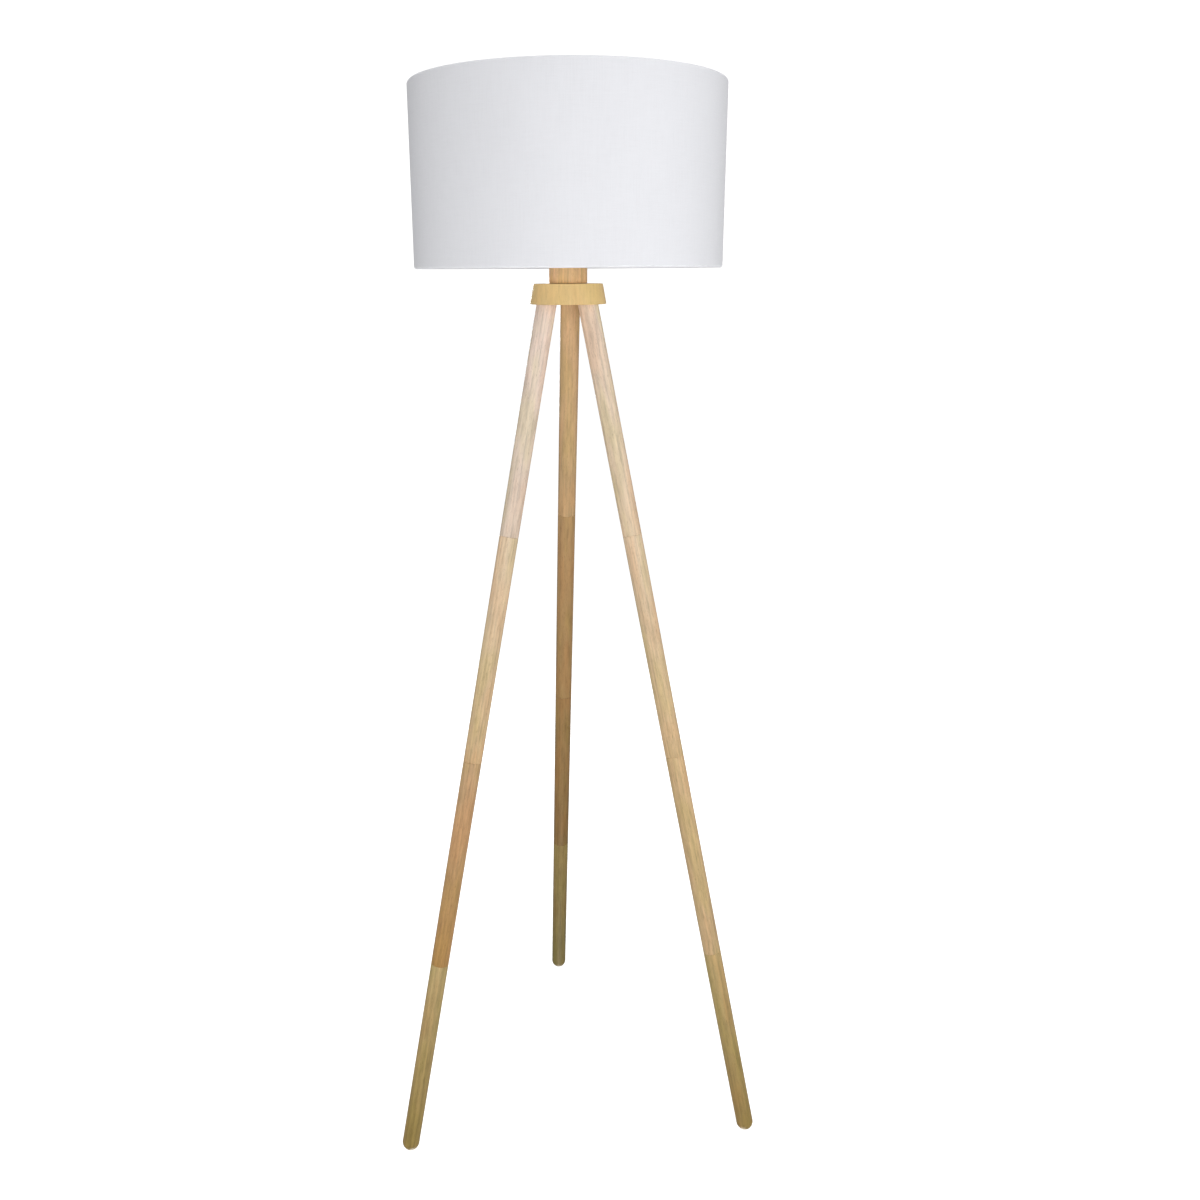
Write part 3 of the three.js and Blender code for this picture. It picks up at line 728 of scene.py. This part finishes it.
HUB_TONE = (0.78, 0.55, 0.245)
NECK_TONE = (0.90, 0.54, 0.285)
TURNED_EDGE = 1.2 * MM
HUB_RECESS_ROOM = 2 * MM  # round the washer
HUB_SEED, NECK_SEED = 14, 19
SOCKET_REACH = 30 * MM  # how far the cutter of a leg's socket comes out of the hub
FINE_PITCH, FINE_DEPTH = 1.0 * MM, 0.35 * MM
TUBE_EDGE, WASHER_EDGE, BUSH_EDGE, NUT_EDGE = 0.2 * MM, 0.25 * MM, 0.5 * MM, 0.1 * MM
NUT_CHAMFER = 0.7 * MM
COUNTERSINK = 1.5 * MM


def socket_cutter(leg):
    """What is cut out of the hub for one leg's end and the insert above it."""
    line = leg_line(leg)
    end = steps(f"{leg}_top_section", *line)[1][-1]
    mouth = end_radius(f"{leg}_top_section", line, end) + GAP
    floor = end + GAP
    below = end - SOCKET_REACH
    pocket = insert_pocket(f"{leg}_hub_insert", line, floor)[::-1]
    outline = [(0, below), (mouth, below), (mouth, floor), *pocket]
    return place(turned("socket", outline, LEG_SIDES), *line)


def add_hub():
    outer, low, high = upright("hub_disc")
    top_r = outline_of("hub_disc")[-1][0] + MM
    tube = upright("lamp_tube")[0] + GAP
    washer, _, washer_top = upright("tube_washer")
    recess, ceiling = washer + HUB_RECESS_ROOM, washer_top + GAP
    corners = [
        (recess, ceiling), (recess, low), (outer, low),
        (top_r, high), (tube, high), (tube, ceiling),
    ]
    hub = place(turned("hub_disc_wood", looped(corners, TURNED_EDGE), 2 * SIDES))
    cut(hub, *(socket_cutter(leg) for leg in LEGS))
    material = wood("hub_disc_wood", HUB_TONE, HUB_SEED, lying=True, figure=0.4)
    finished(hub, material, "hub_wood", "stand", "hub_disc")


def add_neck():
    radius, low, high = upright("neck")
    bore = upright("lamp_tube")[0] + GAP
    outline = tube_outline(bore, radius, low, high, TURNED_EDGE)
    neck = place(turned("neck_wood", outline, 2 * SIDES))
    finished(neck, wood("neck_wood", NECK_TONE, NECK_SEED), "neck_wood", "stand", "neck")


def add_tube():
    (bore, radius), (low, high) = steps("lamp_tube")
    outline = tube_outline(bore, radius, low, high, TUBE_EDGE)
    tube = place(threaded("threaded_tube", outline, radius, FINE_DEPTH, FINE_PITCH))
    finished(tube, STEEL, "steel", "stand", "lamp_tube")
    (hole, rim), (low, high) = steps("tube_washer")
    washer = place(turned("flat_washer", tube_outline(hole, rim, low, high, WASHER_EDGE)))
    finished(washer, STEEL, "steel", "stand", "tube_washer")
    finished(hexagon_nut(hole), STEEL, "steel", "stand", "tube_nut")
    bush = place(turned("cord_bush_ring", flanged_outline(*steps("cord_bush"), BUSH_EDGE)))
    finished(bush, BLACK_PLASTIC, "holder_plastic", "stand", "cord_bush")


def hexagon_nut(hole):
    """A nut whose corners are turned off at both ends, with a countersunk thread."""
    corner, low, high = upright("tube_nut")
    flat = corner * math.cos(math.radians(30))
    past = corner + NUT_CHAMFER
    nut = turned("hexagon_nut", rod_outline(corner, low, high), 6)
    corners = [
        (0, low), (flat, low), (past, low + NUT_CHAMFER),
        (past, high - NUT_CHAMFER), (flat, high), (0, high),
    ]
    combined(nut, [turned("lens", rounded(corners, NUT_EDGE, 1))], "INTERSECT")
    sunk = COUNTERSINK / 3
    bore = [
        (0, low - MM), (hole + COUNTERSINK, low - MM), (hole, low + sunk),
        (hole, high - sunk), (hole + COUNTERSINK, high + MM), (0, high + MM),
    ]
    return place(cut(nut, turned("bore", bore)))


# ---- Lampholder ----

HOLDER_EDGE = 0.6 * MM
CUP_WALL = 2 * MM
CUP_FLOOR = 2.5 * MM
CUP_SHOULDER = 4 * MM  # rounding of the cup's lower edge
CUP_RIBS, CUP_RIB_DEPTH = 44, 0.5 * MM
CUP_RIBS_START, CUP_RIBS_END = 8 * MM, 1.5 * MM  # below the cup's top
RIB_SIDES = 8  # sides of a ribbed piece for each rib
RING_PITCH, RING_DEPTH = 2.5 * MM, 0.9 * MM  # of the thread that the shade's collar runs on
BULB_PITCH = 3.63 * MM
CONTACT_WAVE = 0.5 * MM
BOSS_R = 5.4 * MM  # round the spindle, on the cup's side
BOSS_PROUD = 0.6 * MM
CORE_POCKET = 2 * MM  # below the screw contact
SCREW_EDGE = 0.2 * MM
SCREW_PITCH, SCREW_DEPTH = 0.7 * MM, 0.25 * MM
SLOT_WIDTH, SLOT_DEPTH = 0.8 * MM, 1 * MM
ROD_SIDES = 48
ROD_EDGE = 0.3 * MM
KEY_RIBS, KEY_RIB_DEPTH, KEY_EDGE = 20, 0.4 * MM, 0.8 * MM
KEY_HALF_WIDTH, KEY_HALF_THICKNESS = 5.2 * MM, 2 * MM
KEY_OVERLAP = 2 * MM  # of the key's blade into its collar
KEY_CORE_R = 3.5 * MM  # the thick middle of the key, round the end of the spindle
KEY_CORE_PAST = 2 * MM
KEY_GRIPS, KEY_GRIP_WAVE = 5, 0.12
KEY_FLARE = 0.05  # how much wider the blade's tip is than its start
KEY_RIM = 1.4 * MM


def along_switch(piece):
    """Lays a piece that was made along +Z on the axis of the switch."""
    switch = JOINTS["switch_turn"]["pos_m"]
    return place(piece, (AXIS.x, AXIS.y, switch[2]), (1, 0, 0))


def spindle_measures():
    """The spindle's radius, and where it starts and ends, from the lamp's axis."""
    low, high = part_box("switch_spindle")
    return (high.z - low.z) / 2, low.x - AXIS.x, high.x - AXIS.x


def add_cup():
    outer, low, high = upright("holder_cup")
    hole = upright("lamp_tube")[0] + GAP
    inner = outer - CUP_WALL
    shoulder = arc(outer - CUP_SHOULDER, low + CUP_SHOULDER, CUP_SHOULDER, -90, 0, 10)
    inside = [(inner, high), (inner, low + CUP_FLOOR), (hole, low + CUP_FLOOR), (hole, low)]
    lip = rounded([shoulder[-1], (outer, high), inside[0], inside[1]], HOLDER_EDGE)
    outline = [(hole, low), *shoulder, *lip[1:], *inside[2:]]
    ribs = CUP_RIB_DEPTH, CUP_RIBS, high - CUP_RIBS_START, high - CUP_RIBS_END
    cup = place(ribbed("holder_cup_shell", outline, outer, *ribs, RIB_SIDES * CUP_RIBS))
    boss = rod_outline(BOSS_R, inner + 0.5 * MM, outer + BOSS_PROUD)
    joined(cup, along_switch(turned("boss", rounded(boss, HOLDER_EDGE))))
    passage = rod_outline(spindle_measures()[0] + GAP, inner - 3 * MM, outer + 3 * MM)
    cut(cup, along_switch(turned("hole", passage, ROD_SIDES)))
    finished(cup, BLACK_PLASTIC, "holder_plastic", "stand", "holder_cup")


def add_shell():
    (bore, skirt, barrel, flange), (low, ledge, deck, top) = steps("holder_shell")
    corners = [
        (bore, low), (skirt, low), (skirt, ledge), (flange, ledge), (flange, deck),
        (barrel, deck), (barrel, top), (bore, top),
    ]
    outline = looped(corners, HOLDER_EDGE)
    shell = threaded("holder_barrel", outline, barrel, RING_DEPTH, RING_PITCH, 2 * SIDES)
    finished(place(shell), BLACK_PLASTIC, "holder_plastic", "stand", "holder_shell")


def add_core():
    """The ceramic core that the contacts and the terminals sit in."""
    outer, low, high = upright("holder_core")
    contact, contact_low, _ = upright("screw_contact")
    bore, floor = contact + GAP, contact_low - CORE_POCKET
    corners = [(0, low), (outer, low), (outer, high), (bore, high), (bore, floor), (0, floor)]
    core = place(turned("ceramic_core", rounded(corners, HOLDER_EDGE)))
    tools = []
    for side in ("right", "left"):
        origin, _, screw_top, shank = screw_measures(side)
        outline = rod_outline(shank + GAP, low - MM, screw_top + GAP)
        tools.append(place(turned("hole", outline, SMALL_SIDES), origin))
    cut(core, *tools)
    finished(core, CERAMIC, "ceramic", "stand", "holder_core")


def screw_measures(side):
    """The foot of a terminal screw's axis, its two ends' heights and its thread's radius."""
    low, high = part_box(f"terminal_screw_{side}")
    origin = Vector(((low.x + high.x) / 2, (low.y + high.y) / 2, 0))
    return origin, low.z, high.z, steps(f"terminal_screw_{side}", origin)[0][-2]


def add_terminals():
    for side in ("right", "left"):
        node = f"terminal_screw_{side}"
        origin, low, high, shank = screw_measures(side)
        radii, heights = steps(node, origin)
        head, neck = radii[-1], heights[1]
        corners = [(0, low), (head, low), (head, neck), (shank, neck), (shank, high), (0, high)]
        outline = rounded(corners, SCREW_EDGE, 2)
        name = f"terminal_{side}"
        screw = threaded(name, outline, shank, SCREW_DEPTH, SCREW_PITCH, SMALL_SIDES)
        slot = block((origin.x, origin.y, low), (SLOT_WIDTH, 3 * head, 2 * SLOT_DEPTH))
        finished(cut(place(screw, origin), slot), BRASS, "brass", "stand", node)


def pressed_thread(name, node, depth, plain=0):
    """A thin tube with the bulb's thread pressed into it, apart from a plain upper end."""
    (inner, outer), (low, high) = steps(node)
    wall = [(inner, low), (outer, low), (outer, high), (inner, high), (inner, low)]
    rows = BULB_PITCH / THREAD_STEPS
    outline = subdivided(subdivided(wall, outer, rows), inner, rows)
    waves = [thread(r, depth, BULB_PITCH, low, high - plain) for r in (inner, outer)]
    return place(turned(name, outline, SIDES, lambda *at: min(wave(*at) for wave in waves)))


def add_contacts():
    contact = pressed_thread("screw_contact_shell", "screw_contact", CONTACT_WAVE)
    finished(contact, BRASS, "brass", "stand", "screw_contact")
    tongue = frame["nodes"]["centre_contact"]
    tongue.data.materials.clear()
    tongue.data.materials.append(BRASS)


def add_switch():
    radius, start, end = spindle_measures()
    rod = turned("spindle_rod", rounded(rod_outline(radius, start, end), ROD_EDGE), ROD_SIDES)
    finished(along_switch(rod), BRASS, "brass", "switch", "switch_spindle")
    low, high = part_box("switch_knob")
    start, tip = low.x - AXIS.x, high.x - AXIS.x
    collar_r = (high.z - low.z) / 2
    collar_end = start + collar_r
    outline = rounded(rod_outline(collar_r, start, collar_end), KEY_EDGE)
    ribs = KEY_RIB_DEPTH, KEY_RIBS, start + MM, collar_end - MM
    key = ribbed("turn_key", outline, collar_r, *ribs, RIB_SIDES * KEY_RIBS)
    outline = rounded(rod_outline(KEY_CORE_R, start + MM, end + KEY_CORE_PAST), MM, 6)
    joined(key, turned("core", outline, ROD_SIDES), key_blade(collar_end - KEY_OVERLAP, tip))
    hole = rod_outline(radius + GAP, start - MM, end + GAP)
    cut(key, turned("hole", hole, ROD_SIDES))
    finished(along_switch(key), BLACK_PLASTIC, "holder_plastic", "switch", "switch_knob")


def key_blade(low, high):
    """The flat part of the key that fingers turn. Its grip waves fade out near the tip."""
    verts, rings = [], []
    rows = ROD_SIDES
    for row in range(rows + 1):
        t = row / rows
        z = low + (high - low) * t
        past = max(0.0, (z - (high - KEY_RIM)) / KEY_RIM)
        edge = math.sqrt(max(0.0, 1 - past**2))
        wave = KEY_GRIP_WAVE * math.cos(2 * math.pi * KEY_GRIPS * t) * min(1, 4 * (1 - t))
        across = KEY_HALF_THICKNESS * (1 - KEY_GRIP_WAVE + wave) - KEY_RIM * 0.9 * (1 - edge)
        along = KEY_HALF_WIDTH * (1 + KEY_FLARE * t) - KEY_RIM * (1 - edge)
        rings.append(list(range(len(verts), len(verts) + ROD_SIDES)))
        for angle in even_angles(ROD_SIDES):
            c, s = math.cos(angle), math.sin(angle)
            x = across * math.copysign(abs(c) ** 0.5, c)
            y = along * math.copysign(abs(s) ** 0.5, s)
            verts.append((x, y, z))
    faces = skin_between(rings, False)
    return link_mesh("blade", verts, faces + [tuple(reversed(rings[0])), tuple(rings[-1])])


# ---- Shade ----

CLOTH = 0.4 * MM
STYRENE_THICKNESS = 0.45 * MM
GLUE = 0.1 * MM
LAP_PROUD = 0.6 * CLOTH
WIRE_R = 1.6 * MM
ARM_WIRE_R = 1.9 * MM
RING_INSET = 3 * MM  # shade's edge to the middle of each ring's wire
HEM_LEAVES = 300  # degrees, where the turned-in cloth leaves the ring's wire
HEM_BEND = 10.5 * MM  # how far inside the edge it meets the lining
HEM_END = 12 * MM  # and where it ends
OVERLAP = 10 * MM  # where the cloth's two ends are glued together
OVERLAP_ANGLE = math.radians(68)  # at the back of the drum
SHADE_SIDES = 288
WALL_ROWS = 12
ARM_ANGLES = [math.radians(a) for a in (30, 150, 270)]
ARM_LEVEL_PULL = 50 * MM  # how far an arm runs level out of the fitter
ARM_RING_PULL = 60 * MM  # and how far in from the ring, and up, its other end pulls it
ARM_RING_LIFT = 8 * MM
ARM_STEPS = 40
FITTER_THICKNESS, FITTER_ROOM, FITTER_EDGE = 2 * MM, 0.7 * MM, 0.5 * MM
COLLAR_RIBS, COLLAR_RIB_DEPTH = 28, 0.9 * MM
WELD_R = 2.7 * MM


def ring_radius():
    """From the lamp's axis to the middle of either ring's wire."""
    return upright("shade_top_ring")[0] - WIRE_R


def hem(outer, edge, inward):
    """The cloth's line from the drum's wall, over its edge, round the ring's wire and back
    to the lining. inward is +1 at the bottom edge and -1 at the top edge."""
    wire, wrap = ring_radius(), WIRE_R + CLOTH / 2 + GLUE
    wall, level = outer - CLOTH / 2, edge + inward * RING_INSET
    middle, half = (wall + wire - wrap) / 2, (wall - wire + wrap) / 2
    rise = (RING_INSET - CLOTH / 2) / half
    over = arc(middle, 0, half, 0, 180, 14, rise)
    under = arc(wire, 0, wrap, 180, HEM_LEAVES, 8)
    behind = outer - CLOTH - STYRENE_THICKNESS - 2 * GLUE - CLOTH / 2
    tail = [(behind, RING_INSET - depth) for depth in (HEM_BEND, HEM_END)]
    return [(r, level - inward * z) for r, z in over + under[1:] + tail]


def shade_angles(outer):
    """Even steps round the drum, with close ones at the two sides of the glued overlap."""
    even = even_angles(SHADE_SIDES)
    sides = [OVERLAP_ANGLE, OVERLAP_ANGLE + OVERLAP / outer]
    close = [side + step * CLOTH / outer for side in sides for step in (-0.5, 0.5)]
    return sorted(even + close)


def lap(outer):
    """A radius_at that lets the overlap of the cloth's ends stand a little proud."""
    end = OVERLAP_ANGLE + OVERLAP / outer
    return lambda r, z, angle: r + (LAP_PROUD if OVERLAP_ANGLE <= angle <= end else 0)


def add_cloth():
    outer, low, high = upright("shade_skin")
    bottom, top = hem(outer, low, 1), hem(outer, high, -1)
    wall = [(bottom[0][0], low + (high - low) * i / WALL_ROWS) for i in range(1, WALL_ROWS)]
    line = bottom[::-1] + wall + top
    outline = sheet_outline(line, CLOTH)
    cloth = place(turned("shade_cloth", outline, shade_angles(outer), lap(outer)))
    finished(cloth, WEAVE, "shade_fabric", "shade", "shade_skin")


def add_lining():
    """The stiff plastic drum that the cloth is glued to."""
    outer, low, high = upright("shade_skin")
    radius = outer - CLOTH - GLUE
    ends = low + RING_INSET / 2, high - RING_INSET / 2
    outline = tube_outline(radius - STYRENE_THICKNESS, radius, *ends, GLUE)
    lining = place(turned("shade_lining", outline, SHADE_SIDES))
    finished(lining, STYRENE, "shade_fabric", "shade")


def wire_ring(name, level):
    radius = ring_radius()
    circle = [on_circle(radius, angle, level) for angle in even_angles(SHADE_SIDES)]
    return swept(name, circle, WIRE_R, closed=True)


def weld(radius, angle, height):
    """A bead of weld where two wires meet."""
    bead = turned("weld", [(0, -WELD_R), *arc(0, 0, WELD_R, -75, 75, 10), (0, WELD_R)], 24)
    return place(bead, on_circle(radius, angle, height))


def add_wires():
    low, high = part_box("shade_skin")
    ring = wire_ring("shade_wire_top", high.z - RING_INSET)
    finished(place(ring), POWDER_COAT, "white_wire", "shade", "shade_top_ring")
    ring_level, ring_r = low.z + RING_INSET, ring_radius()
    carrier = wire_ring("shade_wire_carrier", ring_level)
    barrel = steps("holder_shell")[0][2]
    fitter_top, collar_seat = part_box("shade_carrier")[1].z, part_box("shade_collar")[0].z
    plate = fitter_top - FITTER_THICKNESS, min(fitter_top, collar_seat)
    hole, rim = barrel + FITTER_ROOM, upright("shade_collar")[0] + MM
    parts = [turned("fitter", tube_outline(hole, rim, *plate, FITTER_EDGE))]
    arm_level = fitter_top - ARM_WIRE_R
    start = rim - ARM_WIRE_R
    for angle in ARM_ANGLES:
        radii = start, start + ARM_LEVEL_PULL, ring_r - ARM_RING_PULL, ring_r
        heights = arm_level, arm_level, ring_level + ARM_RING_LIFT, ring_level
        bends = [Vector(on_circle(r, angle, z)) for r, z in zip(radii, heights)]
        parts.append(swept("arm", bezier(*bends, ARM_STEPS), ARM_WIRE_R))
        parts.append(weld(ring_r - WIRE_R, angle, ring_level))
        parts.append(weld(rim, angle, arm_level))
    joined(carrier, *parts)
    finished(place(carrier), POWDER_COAT, "white_wire", "shade", "shade_carrier")


def bezier(a, b, c, d, count):
    """Points along the curve from a to d that b and c pull on."""
    for i in range(count + 1):
        t = i / count
        u = 1 - t
        yield a * u**3 + b * 3 * u * u * t + c * 3 * u * t * t + d * t**3


def add_collar():
    """The ribbed ring that clamps the shade's fitter to the lampholder."""
    radii, heights = steps("shade_collar")
    outline = flanged_outline(radii, heights, HOLDER_EDGE)
    ribs = COLLAR_RIB_DEPTH, COLLAR_RIBS, heights[1] + MM, heights[2] - MM
    collar = ribbed("clamp_ring", outline, radii[1], *ribs, RIB_SIDES * COLLAR_RIBS)
    finished(place(collar), BLACK_PLASTIC, "holder_plastic", "shade_collar", "shade_collar")


# ---- Bulb ----

CAP_WAVE = 0.85 * MM
BULB_WALL = 1.6 * MM
TIP_EDGE, CONE_EDGE, BODY_BEND = 0.8 * MM, 0.5 * MM, 9 * MM
TIP_RISE = 0.3 * MM
BODY_STRAIGHT = 3 * MM  # the upright end of the body's side, below the globe
GLOBE_STEPS = 40


def add_bulb_cap():
    cap = pressed_thread("screw_cap", "bulb_cap", CAP_WAVE, plain=MM)
    finished(cap, NICKEL, "bulb_cap_metal", "bulb", "bulb_cap")
    radius, low, high = upright("bulb_contact")
    corners = [(0, low), (radius - MM, low + TIP_RISE), (radius, high), (0, high)]
    tip = place(turned("solder_tip", rounded(corners, TIP_EDGE), ROD_SIDES))
    finished(tip, BRASS, "brass", "bulb_tip", "bulb_contact")
    side = outline_of("bulb_insulator")
    outline = rounded([(0, side[0][1]), *side, (0, side[-1][1])], CONE_EDGE)
    insulator = place(turned("glass_insulator", outline))
    finished(insulator, BLACK_GLASS, "bulb_insulation", "bulb", "bulb_insulator")


def add_bulb_body():
    spigot, *_ = steps("bulb_cap")[0]
    outside = outline_of("bulb_housing")
    outside = [(spigot - CAP_WAVE - GAP, z) if r < spigot else (r, z) for r, z in outside]
    shoulder, top = outside[-1]
    straight = [(shoulder, top - BODY_STRAIGHT), (shoulder, top)]
    line = rounded([*outside[:-1], *straight], BODY_BEND, 10)
    inside = [(r - BULB_WALL, z) for r, z in line][::-1]
    housing = place(turned("bulb_body", [*line, *inside, line[0]]))
    finished(housing, WHITE_PLASTIC, "bulb_plastic", "bulb", "bulb_housing")
    radius, low, high = upright("bulb_globe")
    centre = high - radius
    start = math.degrees(math.asin((low - centre) / radius))
    outer = arc(0, centre, radius, start, 90, GLOBE_STEPS)
    inner = arc(0, centre, radius - BULB_WALL, 90, start, GLOBE_STEPS)
    outline = [*outer[:-1], (0, high), (0, high - BULB_WALL), *inner[1:], outer[0]]
    globe = place(turned("bulb_diffuser_globe", outline))
    finished(globe, DIFFUSER, "bulb_diffuser", "bulb", "bulb_globe")


# ---- Studio ----

FLOOR_SIZE = 60
FLOOR_GLOW, BACKDROP_GLOW = 0.9, 1.0
LIGHTS = {
    # name: azimuth from the front, distance, height, height it points at, size, watts
    # "below" shines through the floor, in place of what a real pale floor throws back
    "key": (6, 1.9, 1.08, 1.08, 0.7, 16.4),
    "right_fill": (55, 1.9, 1.4, 1.4, 0.8, 9),
    "left_fill": (-75, 1.9, 1.05, 1.05, 0.8, 9),
    "behind": (184, 2.2, 1.2, 1.2, 0.8, 24),
    "above": (180, 0.01, 3.2, 0, 0.6, 14),
    "below": (180, 0.01, -4, 1, 1.5, 80),
}
AMBIENT = 0.29


def stage_material(name, brightness):
    """White that glows a little, so that it stays pale where no lamp reaches it."""
    n = Nodes(name, Roughness=0.9, Emission_Strength=brightness)
    n.shader.inputs["Base Color"].default_value = (0.5, 0.5, 0.5, 1)
    n.shader.inputs["Emission Color"].default_value = (1, 1, 1, 1)
    return n.material


def staged(piece, brightness):
    """Marks a backdrop, which the camera sees but which throws no light on the lamp."""
    piece.data.materials.append(stage_material(piece.name, brightness))
    piece.visible_diffuse = False
    piece.visible_glossy = False
    piece.visible_transmission = False
    piece.visible_shadow = False


def add_stage():
    half = FLOOR_SIZE / 2
    corners = [(-half, -half, 0), (half, -half, 0), (half, half, 0), (-half, half, 0)]
    staged(link_mesh("studio_floor", corners, [(0, 1, 2, 3)]), FLOOR_GLOW)
    staged(turned("studio_backdrop", arc(0, 0, half, -90, 90, 24)), BACKDROP_GLOW)


def add_lights():
    world = bpy.data.worlds.new("studio")
    bpy.context.scene.world = world
    world.use_nodes = True
    background = world.node_tree.nodes["Background"]
    background.inputs["Color"].default_value = (1, 1, 1, 1)
    background.inputs["Strength"].default_value = AMBIENT
    for name, (azimuth, distance, height, aim, size, watts) in LIGHTS.items():
        data = bpy.data.lights.new(name, "AREA")
        data.energy, data.shape, data.size = watts, "SQUARE", size
        light = bpy.data.objects.new(name, data)
        bpy.context.scene.collection.objects.link(light)
        angle = math.radians(azimuth)
        away = Vector((math.sin(angle), -math.cos(angle), 0))
        light.location = AXIS + away * distance + UP * height
        towards = UP * (aim - height) - away * distance
        light.rotation_euler = towards.to_track_quat("-Z", "Y").to_euler()
        light.visible_camera = False
    bpy.context.scene.view_settings.view_transform = "Standard"


add_camera()
add_legs()
add_hub()
add_neck()
add_tube()
add_cup()
add_shell()
add_core()
add_terminals()
add_contacts()
add_switch()
add_cloth()
add_lining()
add_wires()
add_collar()
add_bulb_cap()
add_bulb_body()
add_stage()
add_lights()
